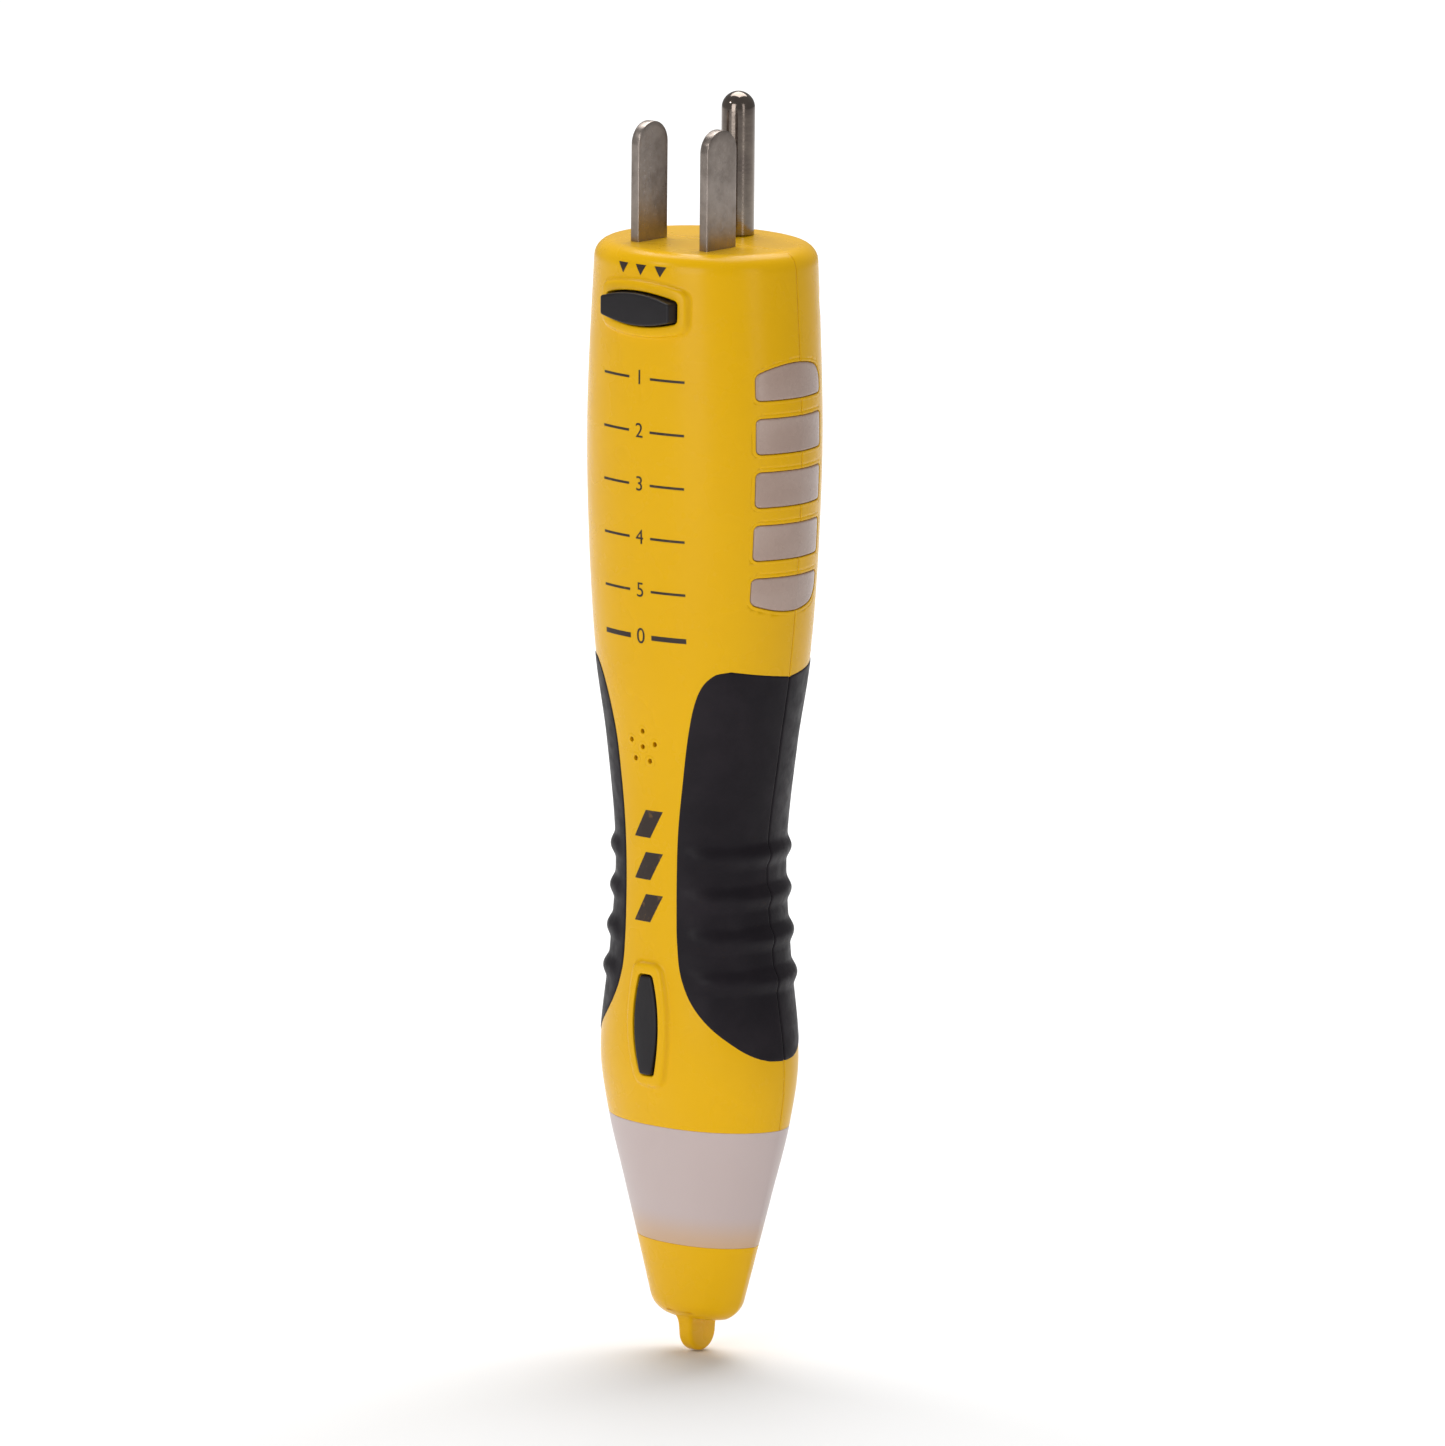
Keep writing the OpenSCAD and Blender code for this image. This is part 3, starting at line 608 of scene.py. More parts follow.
def plain_metal(name, dark, light, rough=0.3, grain=700):
    """Plated or sheet metal of an inner part or a fastener."""
    f = Finish(name, Metallic=1.0)
    f.colour(f.mixed(f.noise(grain / 3, 4), dark, light))
    f.rough(f.ranged(f.noise(grain, 4), rough - 0.06, rough + 0.12))
    f.bumps((f.noise(grain * 2, 3), 0.03, 0.25))
    return f.material


def plain_plastic(name, dark, light, rough=0.45, grain=900):
    """Moulded or printed plastic of an inner part."""
    f = Finish(name, Specular_IOR_Level=0.5)
    f.colour(f.mixed(f.noise(grain / 4, 4), dark, light))
    f.rough(f.ranged(f.noise(grain, 4), rough - 0.08, rough + 0.1))
    f.bumps((f.noise(grain * 2, 3), 0.03, 0.3))
    return f.material


def ink():
    """Printed marks: flat dark ink, worn thin in specks."""
    f = Finish("ink", Specular_IOR_Level=0.4)
    f.colour(f.mixed(f.ranged(f.noise(900, 5), 0, 1, 0.58, 0.75), srgb(44, 30, 22), srgb(92, 66, 30)))
    f.rough(f.ranged(f.noise(700, 3), 0.42, 0.55))
    f.bumps((f.noise(2000, 2), 0.02, 0.2))
    return f.material


YELLOW = yellow_plastic()
RUBBER = black_rubber()
BUTTON = button_plastic()
WINDOW = window_plastic()
RING = ring_plastic()
NICKEL = nickel_plate()
PIN = pin_metal()
INK = ink()
STEEL = plain_metal("screw_steel", srgb(120, 120, 122), srgb(160, 160, 162), 0.28)
BRASS = plain_metal("contact_brass", srgb(176, 138, 72), srgb(206, 168, 98), 0.3)
CELL = plain_metal("cell_can", srgb(150, 152, 156), srgb(196, 196, 198), 0.25, 300)
BOARD = plain_plastic("solder_resist", srgb(16, 74, 36), srgb(26, 96, 50), 0.3)
WHITE = plain_plastic("white_part", srgb(214, 212, 204), srgb(232, 230, 223), 0.4)
BLACK = plain_plastic("black_part", srgb(22, 22, 24), srgb(38, 38, 41), 0.45)
BLUE = plain_plastic("resistor_body", srgb(86, 140, 168), srgb(122, 172, 194), 0.35)


# ---- Shells ----

LIP = 0.65
LIP_SUNK = 0.06
LEDGE = 0.5
LEDGE_REACH = 0.25
PROUD = 0.015
SKIN_REACH = 1.3
SKIN_SHARE = 0.1
CUT_MARGIN = 0.05
BEZEL = 0.68
BEZEL_CUT = 0.6
WINDOW_LIP = 0.6
WINDOW_LIP_ROUND = 0.14
SPEAKER_LIP_ROUND = 0.08
SPEAKER_DEPTH = 1.2
DOOR_LIP_ROUND = 0.2
SCREW_LIP_ROUND = 0.25

# Where the rows of a shell change their spacing, and the spacings
WINDOWS_END = 56
SPEAKER_START = 68
SPEAKER_END = 75
ROW_FINE = 0.3
ROW_CLOSE = 0.45
ROW_WIDE = 0.7

# Rows of a shell: across the plug face, round the rim, and down the side
FACE_SHARES = np.linspace(CLOSED, 0.97, 20)
RIM_DROPS = RIM * (1 - np.cos(np.linspace(0, np.pi / 2, 9)))
SIDE_DROPS = np.concatenate([
    np.arange(RIM + ROW_FINE, WINDOWS_END, ROW_CLOSE),
    np.arange(WINDOWS_END, SPEAKER_START, ROW_WIDE),
    np.arange(SPEAKER_START, SPEAKER_END, ROW_FINE),
    np.arange(SPEAKER_END, COLLAR - 0.5, ROW_WIDE),
    COLLAR - END_STEPS[::-1],
])

# Columns of a shell: close together at both seams
SEAM_TURNS = np.array([0, 0.002, 0.005, 0.009, 0.014, 0.02])
TURNS = np.concatenate([SEAM_TURNS, np.linspace(0.035, np.pi - 0.035, 112), np.pi - SEAM_TURNS[::-1]])


def seam_dip(y, radius=SEAM_ROUND):
    """How far the rounded seam edge lies below the surface at a distance y from the seam."""
    return quarter_round(radius, np.abs(y))


def shell_skin(side):
    """Outer and inner points of one shell's wall, as rows and columns."""
    drops = np.concatenate([RIM_DROPS, SIDE_DROPS])[:, None]
    turns = TURNS[None, :]
    plain = on_body(drops, turns, 0, side)
    dip = seam_dip(plain[..., 1]) + quarter_round(END_ROUND, COLLAR - drops)
    outer = on_body(drops, turns, -dip, side)
    inner = on_body(np.maximum(drops, WALL), turns, -WALL, side)
    edge_out, edge_in = outer[:1], inner[:1]
    if side > 0:
        thin_by_openings(outer, inner)
    share = FACE_SHARES[:, None, None]
    flat_out = edge_out * [1, 1, 0] * share
    flat_out[..., 2] = -seam_dip(flat_out[..., 1], FACE_SEAM_ROUND)
    flat_in = edge_in * [1, 1, 0] * share + [0, 0, -WALL]
    return np.concatenate([flat_out, outer]), np.concatenate([flat_in, inner])


def thin_by_openings(outer, inner):
    """Draws the inside up to the skin round the door and the screw recesses, hidden by their walls."""
    flat = outer[..., [0, 2]].reshape(-1, 2)
    near, _ = inside(flat, door_outline(SKIN_REACH))
    for x, drop, _ in SCREWS:
        near |= np.hypot(np.abs(flat[:, 0]) - x, flat[:, 1] + drop) < SCREW_RECESS + SKIN_REACH
    near = near.reshape(outer.shape[:2])
    inner[near] = outer[near] + (inner[near] - outer[near]) * SKIN_SHARE


def punched(outer, faces, cuts):
    """The faces left when every cut (outline, place) has taken away those that reach into it."""
    points = outer.reshape(-1, 3)
    gone = np.zeros(len(points), bool)
    for outline, place in cuts:
        flat = points[:, [0, 2]] if place == "face" else points[:, [1, 2]]
        low, high = outline.min(axis=0) - 1, outline.max(axis=0) + 1
        near = np.all((flat > low) & (flat < high), axis=1) & (points[:, 2] < -0.5)
        if place == "flank":
            near &= np.abs(points[:, 0]) > HALF_WIDTH / 3
        index = np.flatnonzero(near)
        hit, _ = inside(flat[index], outline, CUT_MARGIN)
        gone[index[hit]] = True
    return [face for face in faces if not gone[list(face)].any()]


def lip_profile(radius, depth=WALL - 0.1, reach=LIP):
    """The edge of an opening: up the wall, round the edge and out onto the surface."""
    flat = [(reach * 0.75, PROUD), (reach, -LIP_SUNK)]
    return [(0, -depth), (0, -depth / 2)] + round_profile(radius, PROUD) + flat


# The bezel's section: share of the way from the hole to its outer edge, and share of the rise BEZEL
BEZEL_SECTION = [
    (0.0, 0.70), (0.02, 0.85), (0.06, 0.96), (0.12, 1.0), (0.35, 1.0), (0.56, 0.99), (0.65, 0.96),
    (0.72, 0.90), (0.78, 0.80), (0.83, 0.66), (0.87, 0.50), (0.91, 0.33), (0.95, 0.18), (1.0, 0.07),
    (1.07, 0.02), (1.2, -0.04), (1.35, -0.12),
]


def add_bezel(surface, button):
    """The wall of a button's hole and the raised frame round it."""
    rows = [on_face(*button.frame(0).T, height) for height in (-WALL, -WALL / 2)]
    rows += [on_face(*button.frame(share).T, rise * BEZEL) for share, rise in BEZEL_SECTION]
    surface.grid(np.stack(rows), closed=True)


def add_window_lips(surface, shell_side):
    """The parts of the window edges that belong to one shell, with the seam running through them."""
    profile = [(-LEDGE_REACH, -LEDGE), (0, -LEDGE)] + lip_profile(WINDOW_LIP_ROUND, LEDGE, WINDOW_LIP)[2:]
    for flank in (-1, 1):
        def place(y, z, height, flank=flank):
            return on_flank(y, z, height - seam_dip(y), flank)

        for row in range(ROWS):
            rows = ring_rows(with_seam_points(window_outline(row, WINDOW_GAP)), profile, place)
            middles = rows.reshape(-1, 3)[:, 1]
            faces = [face for face in grid_faces(*rows.shape[:2], True, flank < 0)
                     if np.mean(middles[list(face)]) * shell_side > 0]
            surface.add(rows, faces)


SEAM_CUTS = (-0.22, -0.12, -0.05, -0.01, 0.0, 0.01, 0.05, 0.12, 0.22)


def with_seam_points(outline):
    """A window outline with extra points close to the seam at y = 0."""
    points = []
    for a, b in zip(outline, np.roll(outline, -1, axis=0)):
        points.append(a)
        cuts = [y for y in SEAM_CUTS if min(a[0], b[0]) < y < max(a[0], b[0])]
        for y in sorted(cuts, reverse=a[0] > b[0]):
            points.append(a + (b - a) * (y - a[0]) / (b[0] - a[0]))
    return np.array(points)


def shell_wall(side, openings):
    """One shell's wall without its openings and windows, and its part of the window edges."""
    cuts = [(outline, "face") for outline in openings]
    cuts += [(window_outline(row, WINDOW_GAP), "flank") for row in range(ROWS)]
    outer, inner = shell_skin(side)
    surface = Surface()
    thicken(surface, outer, inner, punched(outer, grid_faces(*outer.shape[:2], flip=side > 0), cuts))
    add_window_lips(surface, side)
    return surface


def make_front_shell():
    """The front shell, with the two bezels and the sound holes."""
    holes = speaker_outlines()
    surface = shell_wall(-1, [button.outline(BUTTON_GAP + BEZEL_CUT) for button in BUTTONS] + holes)
    for button in BUTTONS:
        add_bezel(surface, button)
    for hole in holes:
        surface.grid(ring_rows(hole, lip_profile(SPEAKER_LIP_ROUND, SPEAKER_DEPTH), on_face), closed=True)
    finished(surface, "front_shell_skin", YELLOW, "body", "front_shell")


def make_rear_shell():
    """The rear shell, with the door's opening and the wells of the case screws."""
    door = door_outline(DOOR_GAP)
    wells = [(circle(side * x, -drop, SCREW_RECESS, SCREW_RECESS_POINTS), floor)
             for x, drop, floor in SCREWS for side in (-1, 1)]
    surface = shell_wall(1, [door] + [outline for outline, _ in wells])
    surface.grid(ring_rows(door, lip_profile(DOOR_LIP_ROUND), on_rear), closed=True, flip=True)
    for outline, floor in wells:
        add_screw_recess(surface, outline, floor)
    finished(surface, "rear_shell_skin", YELLOW, "body", "rear_shell")


def add_screw_recess(surface, outline, floor):
    """A round well from the surface down to its flat floor, which has a hole for the screw."""
    profile = round_profile(SCREW_LIP_ROUND, PROUD) + [(LIP * 0.8, PROUD), (LIP, -LIP_SUNK)]
    rows = ring_rows(outline, profile, on_rear)
    wall = []
    for depth_share in (1.0, 0.5):
        ring = rows[0].copy()
        ring[:, 1] += (floor - ring[:, 1]) * depth_share
        wall.append(ring)
    centre = outline.mean(axis=0)
    hole = [np.insert(centre + (outline - centre) * radius / SCREW_RECESS, 1, floor, axis=1)
            for radius in (SCREW_HOLE, SCREW_SEAT)]
    surface.grid(np.concatenate([hole, wall, rows]), closed=True, flip=True)


# ---- Rubber grips ----

GRIP_TOP = 59.4
GRIP_BOTTOM = 116.65
GRIP_PROUD = 0.10
GRIP_ROUND = 0.45
GRIP_TILT = 1.3
GRIP_TILT_FADE = 5
GRIP_THICK = 0.9
GRIP_SEAM_ROUND = 0.3
RIB_FIRST = 87.1
RIB_PITCH = 5.95
RIB_COUNT = 4
RIB_REACH = 2.1
RIB_HEIGHT = 0.68
RIB_EDGE_FADE = 2.5
RIB_FADE_START = 0.3
RIB_FADE_REACH = 0.45

# Where a grip's edge lies seen from the front: drop and x. The rear grips stand wider, beside the door.
GRIP_EDGE = np.array([
    [GRIP_TOP, 12.6], [59.65, 11.4], [60.3, 10.3], [61.3, 9.35], [62.8, 8.5], [64.6, 7.8],
    [68.5, 6.75], [76.7, 5.45], [83, 4.75], [89, 4.5], [94.5, 4.5], [99.4, 4.65], [104.5, 5.35],
    [108.2, 6.95], [111.4, 9.45], [113.7, 11.9], [115.5, 13.9], [116.2, 14.8], [116.5, 15.3],
    [GRIP_BOTTOM, 15.72],
])
REAR_SHIFT = np.array([
    [GRIP_TOP, 0.0], [64.2, 0.6], [68.5, 1.6], [76.7, 2.6], [104.5, 2.6], [108.2, 2.0], [111.4, 0.6],
    [GRIP_BOTTOM, 0.0],
])


def eased(x, points):
    """A smooth curve through a list of (place, value) points."""
    at, value = points[:, 0], points[:, 1]
    return curve_through(x, at, value, np.gradient(value, at))


def rib_swell(drop, turn):
    """Height of the finger ribs: full at the seam, fading towards the front and the back."""
    nearest = RIB_FIRST + RIB_PITCH * np.clip(np.round((drop - RIB_FIRST) / RIB_PITCH), 0, RIB_COUNT - 1)
    away = np.clip(np.abs(drop - nearest) / RIB_REACH, 0, 1)
    fade = np.clip((np.abs(np.cos(turn)) - RIB_FADE_START) / RIB_FADE_REACH, 0, 1)
    return RIB_HEIGHT * (0.5 + 0.5 * np.cos(np.pi * away)) * fade ** 2 * (3 - 2 * fade)


# Rows of a grip: close together at both ends, and closest where the ribs are
RIB_ROWS_START = 84
RIB_ROWS_END = 110
GRIP_DROPS = np.concatenate([
    GRIP_TOP + np.array([0, 0.03, 0.1, 0.2, 0.35, 0.55, 0.8, 1.1]),
    np.arange(GRIP_TOP + 1.5, RIB_ROWS_START, 0.6),
    np.arange(RIB_ROWS_START, RIB_ROWS_END, 0.25),
    np.arange(RIB_ROWS_END, GRIP_BOTTOM - 0.3, 0.35),
    GRIP_BOTTOM - np.array([0.2, 0.1, 0.03, 0]),
])[:, None]

# Columns of a grip, as shares of the way from the seam to its edge
FINE_SHARES = np.array([0, 0.003, 0.008, 0.016, 0.028, 0.045])
GRIP_SHARES = np.concatenate([FINE_SHARES, np.linspace(0.07, 0.93, 40), 1 - FINE_SHARES[::-1]])[None, :]


def edge_turns(side):
    """The turn at which each row of a grip ends, beside the front or the back."""
    edge_x = eased(GRIP_DROPS, GRIP_EDGE) + (eased(GRIP_DROPS, REAR_SHIFT) if side > 0 else 0)
    width, _, start = section(GRIP_DROPS, 0)
    edge_angle = np.arccos(np.clip(edge_x / width, 0, 1) ** (FULLNESS / 2))
    return np.maximum((edge_angle - start) * np.pi / (np.pi - 2 * start), 0.01)


def edge_gaps(flat):
    """How far each point of a grip is from its top, its edge and its bottom."""
    border = np.concatenate([flat[0], flat[1:-1, -1], flat[-1, ::-1]])
    gap = np.full(flat.shape[:2], np.inf)
    for a, b in zip(border, border[1:]):
        along = b - a
        share = np.clip(((flat - a) @ along) / max(along @ along, TINY), 0, 1)
        gap = np.minimum(gap, np.linalg.norm(flat - (a + share[..., None] * along), axis=-1))
    return gap


def make_grip(name, flank, side):
    """One rubber grip, which stands a little proud of its shell and carries half of each rib."""
    turns = edge_turns(side) * GRIP_SHARES
    tilt = GRIP_TILT * (1 - GRIP_SHARES) * np.exp((GRIP_TOP - GRIP_DROPS) / GRIP_TILT_FADE)
    drops = GRIP_DROPS + tilt
    flat = on_body(drops, turns, 0, side)
    gap = edge_gaps(flat)
    dip = quarter_round(GRIP_ROUND, gap) + seam_dip(flat[..., 1], GRIP_SEAM_ROUND)
    height = GRIP_PROUD + rib_swell(drops, turns) * np.clip(gap / RIB_EDGE_FADE, 0, 1) - dip
    outer = on_body(drops, turns, height, side) * [flank, 1, 1]
    inner = on_body(drops, turns, -GRIP_THICK, side) * [flank, 1, 1]
    surface = Surface()
    thicken(surface, outer, inner, grid_faces(*outer.shape[:2], flip=side * flank > 0))
    finished(surface, name + "_rubber", RUBBER, "body", name)


# ---- Windows, light ring and probe tip ----

LENS_DEPTH = 1.9
LENS_PLAY = 0.02
LENS_SUNK = 0.02
LENS_ROUND = 0.22
LENS_FILL = 14
BACKING_GAP = 0.05
BACKING_DEPTH = 1.15


def make_windows(name, flank):
    """The five lenses of one flank, and the flange behind the wall that joins them."""
    def place(y, z, height):
        return on_flank(y, z, height, flank)

    rounded = [(-offset, height) for offset, height in round_profile(LENS_ROUND, -LENS_SUNK)]
    surface = Surface()
    for row in range(ROWS):
        rings = cap_rows(window_outline(row, -LENS_PLAY), [(0.0, -LENS_DEPTH)] + rounded, place, LENS_FILL)
        surface.grid(rings, closed=True, flip=flank > 0)
    low, high = box_mm(name)
    y = np.linspace(low[1], high[1], 26)[None, :]
    z = np.linspace(high[2], low[2], 60)[:, None]
    outer = place(y, z, -WALL - BACKING_GAP)
    inner = place(y, z, -WALL - BACKING_DEPTH)
    thicken(surface, outer, inner, grid_faces(*outer.shape[:2], flip=flank > 0))
    finished(surface, name + "_lenses", WINDOW, "body", name)


RING_COLUMNS = 180
RING_WALL = 1.6
END_CLEAR = 0.8
CAP_ROW = 0.6


def whole_rings(drops, inset=0.0):
    """Closed rings of the whole section at each drop."""
    turns = np.linspace(0, np.pi, RING_COLUMNS // 2 + 1)[None, :]
    drops = np.asarray(drops, float)[:, None]
    front = on_body(drops, turns, -np.asarray(inset), -1)
    rear = on_body(drops, turns[:, ::-1], -np.asarray(inset), 1)
    return np.concatenate([front, rear[:, 1:-1]], axis=1)


def make_light_ring():
    """The ring: a tapering tube with both its ends rounded."""
    drops = np.concatenate([
        COLLAR + END_STEPS, np.arange(COLLAR + END_CLEAR, TIP - END_CLEAR, ROW_WIDE), TIP - END_STEPS[::-1],
    ])
    dip = quarter_round(END_ROUND, np.minimum(drops - COLLAR, TIP - drops))[:, None]
    outer = whole_rings(drops, dip)
    inner = whole_rings(drops[::-1], RING_WALL)
    surface = Surface()
    surface.grid(np.concatenate([outer, inner, outer[:1]]), closed=True)
    finished(surface, "light_ring_moulding", RING, "body", "light_ring")


NUB_HALF = 1.2
NUB_REACH = 2.9
NUB_FILLET = 1.3
NUB_FADE = 0.75
NUB_SUNK = 1.3
NUB_EDGE = 0.6


def make_probe_tip():
    """The cap, turned in under the ring and rounded below, with the sensing nub."""
    round_drops = CAP_END - CAP_ROUND * (1 - np.sin(np.linspace(0, np.pi / 2, 12)))
    straight_drops = np.arange(TIP + END_CLEAR, CAP_END - CAP_ROUND - 0.3, CAP_ROW)
    drops = np.concatenate([TIP + END_STEPS, straight_drops, round_drops])
    rings = whole_rings(drops, quarter_round(END_ROUND, drops - TIP)[:, None])
    above = [rings[0] * [share, share, 1] for share in (0.6, 0.8)]
    below = [rings[-1] * [share, share, 1] for share in np.linspace(0.9, CLOSED, 10)]
    surface = Surface()
    surface.grid(np.concatenate([above, rings, below]), closed=True)
    add_nub(surface)
    finished(surface, "probe_tip_cap", YELLOW, "body", "probe_tip")


def add_nub(surface):
    """The thin sensing nub: a half disc seen from the side, flaring into the cap where it starts."""
    turns = np.linspace(0, np.pi, 33)
    centre = -NUB_END + NUB_REACH
    start = -CAP_END + NUB_SUNK
    flare_z = np.linspace(start, centre, 20)[:-1]
    flare = NUB_FILLET * np.exp(-(start - flare_z) / NUB_FADE)
    right = np.stack([NUB_REACH + flare, flare_z], axis=1)
    bottom = np.stack([NUB_REACH * np.cos(turns), centre - NUB_REACH * np.sin(turns)], axis=1)
    left = (right * [-1, 1])[::-1]
    outline = np.concatenate([right, bottom, left])
    spine = np.stack([np.zeros(len(outline)), np.maximum(outline[:, 1], centre)], axis=1)
    widen = np.interp(outline[:, 1], flare_z[::-1], flare[::-1], left=0)
    rows = slab_rows(outline, spine, 0, NUB_HALF, NUB_EDGE, 7, widen)
    shares = (CLOSED, 0.33, 0.66)
    near = [rows[0] * [1, share, 1] for share in shares]
    far = [rows[-1] * [1, share, 1] for share in shares[::-1]]
    surface.grid(np.concatenate([near, rows, far]))


# ---- Buttons ----

DRAFT = 0.12
BUTTON_EDGE = 0.3
BUTTON_EDGE_STEPS = 6
BOW_DEPTH = 0.4
BUTTON_FILL = 44
FLANGE_THICK = 0.6


def make_button(button):
    """A button: walls, round front edge and a bowed front face, over a flat flange inside the wall."""
    outline, crown = button.outline(), button.crown
    centre = (outline.max(axis=0) + outline.min(axis=0)) / 2
    reach = np.abs(outline - centre).max(axis=0)
    face_y, flange_y = button.low[1], button.high[1] - FLANGE

    def place(x, z, height):
        bow = crown[0] * ((x - centre[0]) / reach[0]) ** 2 + crown[1] * ((z - centre[1]) / reach[1]) ** 2
        share = np.clip((height + BOW_DEPTH) / BOW_DEPTH, 0, 1)
        return np.stack(np.broadcast_arrays(x, face_y - height + bow * share, z), axis=-1)

    depth = flange_y - face_y
    edge = round_profile(BUTTON_EDGE, 0, BUTTON_EDGE_STEPS)
    profile = [(0, -depth), (0, -depth * 0.6)] + [(-DRAFT - offset, height) for offset, height in edge]
    surface = Surface()
    surface.grid(cap_rows(outline, profile, place, BUTTON_FILL), closed=True)
    flange = outline + FLANGE * outward(outline)
    back_y = flange_y + FLANGE_THICK
    middle = centre + (outline - centre) * CLOSED
    plate = [(middle, back_y), (flange, back_y), (flange, flange_y), (outline, flange_y)]
    surface.grid(np.array([np.insert(ring, 1, y, axis=1) for ring, y in plate]), closed=True)
    finished(surface, button.name + "_cap", BUTTON, button.name, button.name)


# ---- Prongs ----

BLADE_EDGE = 0.15


def make_blade(name):
    """A flat blade with a round end, and a small round along all its edges."""
    low, high = box_mm(name)
    centre_y = (low[1] + high[1]) / 2
    reach = (high[1] - low[1]) / 2
    top_z = high[2] - reach
    turns = np.linspace(0, np.pi, 41)
    top = np.stack([centre_y + reach * np.cos(turns), top_z + reach * np.sin(turns)], axis=1)
    levels = np.linspace(top_z, low[2], 24)[1:]
    left = np.stack([np.full(len(levels), centre_y - reach), levels], axis=1)
    right = np.stack([np.full(len(levels), centre_y + reach), levels[::-1]], axis=1)
    outline = np.concatenate([right, top, left])
    spine = np.stack([np.full(len(outline), centre_y), np.minimum(outline[:, 1], top_z)], axis=1)
    rows = slab_rows(outline, spine, (low[0] + high[0]) / 2, (high[0] - low[0]) / 2, BLADE_EDGE, 5)

    def drawn_in(row, share):
        y = centre_y + (row[:, 1] - centre_y) * share
        z = np.minimum(row[:, 2], top_z + (row[:, 2] - top_z) * share)
        return np.stack([row[:, 0], y, z], axis=1)

    shares = (CLOSED, 0.25, 0.5, 0.75)
    near = [drawn_in(rows[0], share) for share in shares]
    far = [drawn_in(rows[-1], share) for share in shares[::-1]]
    surface = Surface()
    surface.grid(np.concatenate([near, rows, far]))
    finished(surface, name + "_plated", NICKEL, "body", name)


PIN_STEP = 0.2
PIN_COLUMNS = 64


def make_ground_pin():
    """The round pin: a thinner shank inside the plug face, and a round end above it."""
    low, high = box_mm("ground_pin")
    centre_y = (low[1] + high[1]) / 2
    radius = (high[1] - low[1]) / 2
    dome_z = high[2] - radius
    shank = radius - PIN_STEP
    outline = [(0.02, low[2]), (shank, low[2]), (shank, -0.01), (radius, 0.0)]
    outline += [(radius, z) for z in np.linspace(0.3, dome_z, 20)]
    outline += [(radius * math.cos(t), dome_z + radius * math.sin(t))
                for t in np.linspace(0, np.pi / 2 - 0.01, 16)[1:]]
    turns = np.linspace(0, 2 * np.pi, PIN_COLUMNS, endpoint=False)
    rows = np.array([[(r * math.cos(t), centre_y + r * math.sin(t), z) for t in turns] for r, z in outline])
    surface = Surface()
    surface.grid(rows, closed=True)
    finished(surface, "ground_pin_plated", PIN, "body", "ground_pin")


# ---- Battery door ----

DOOR_EDGE = 0.35
DOOR_THICK = 1.8
DOOR_SUNK = 0.01
DOOR_COLUMNS = 57
DOOR_ROWS = 330
WELL_RADIUS = 2.75
WELL_SLOPE = 0.25
WELL_DEPTH = 0.9
GRIP_LINES = 5
LINE_TOP = 28.0
LINE_PITCH = 2.0
LINE_HALF = 0.35
LINE_DEPTH = 0.35
LINE_REACH = 4.6
LINE_END = 0.4


def make_door():
    """The rear door: a curved panel with a round edge, finger lines near the top and a screw recess."""
    screw_low, screw_high = box_mm("battery_door_screw")
    screw = np.array([0.0, (screw_low[2] + screw_high[2]) / 2])
    columns = np.linspace(DOOR_LOW[0], DOOR_HIGH[0], DOOR_COLUMNS)
    levels = np.linspace(DOOR_HIGH[2], DOOR_LOW[2], DOOR_ROWS)
    x, z = np.meshgrid(columns, levels)
    flat = np.stack([x.ravel(), z.ravel()], axis=1)
    hit, gap = inside(flat, door_outline())
    gap = np.where(hit, gap, 0).reshape(x.shape)
    away = np.linalg.norm(flat - screw, axis=1).reshape(x.shape)
    well = np.clip((WELL_RADIUS - away) / WELL_SLOPE, 0, 1) * WELL_DEPTH
    line_z = -LINE_TOP - LINE_PITCH * np.arange(GRIP_LINES)
    lines = sum(np.clip(1 - np.abs(z - at) / LINE_HALF, 0, 1) for at in line_z)
    lines = lines * LINE_DEPTH * np.clip((LINE_REACH - np.abs(x)) / LINE_END, 0, 1)
    outer = on_rear(x, z, -quarter_round(DOOR_EDGE, gap) - well - lines - DOOR_SUNK)
    inner = on_rear(x, z, -DOOR_THICK)
    keep = hit | (gap.ravel() > 0)
    faces = [face for face in grid_faces(*x.shape, flip=True) if keep[list(face)].sum() >= 3]
    surface = Surface()
    thicken(surface, outer, inner, faces)
    finished(surface, "battery_door_panel", YELLOW, "battery_door", "battery_door")


# ---- Printed marks ----

INK_RISE = 0.03
INK_SPACING = 0.4
RULE_START = 1.9
RULE_END = 7.4
RULE_HEIGHT = 0.36
NUMERAL = 3.0
ZERO_NUMERAL = 3.2
ZERO_ROW = 4.87  # where the zero stands, counted in rows from the first
BARS = 3
BAR_TOP = 80.6
BAR_PITCH = 6.1
BAR_HEIGHT = 4.0
BAR_LEFT = -2.6
BAR_WIDTH = 3.0
BAR_SLANT = 2.2
ARROW_DROP = 2.6
ARROW_PITCH = 3.4
ARROW_HALF = 0.95
ARROW_TIP = 0.02
ARROW_HEIGHT = 1.5


def add_bar(surface, x0, x1, z0, z1, slant=0.0):
    """A printed bar on the front, leaning sideways by slant from bottom to top."""
    across = np.linspace(0, 1, max(int((x1 - x0) / INK_SPACING), 2))[None, :]
    up = np.linspace(0, 1, max(int((z1 - z0) / INK_SPACING), 2))[:, None]
    x = x0 + (x1 - x0) * across + slant * up
    z = z1 + (z0 - z1) * (1 - up) + 0 * across
    surface.grid(on_face(x, z, INK_RISE), flip=True)


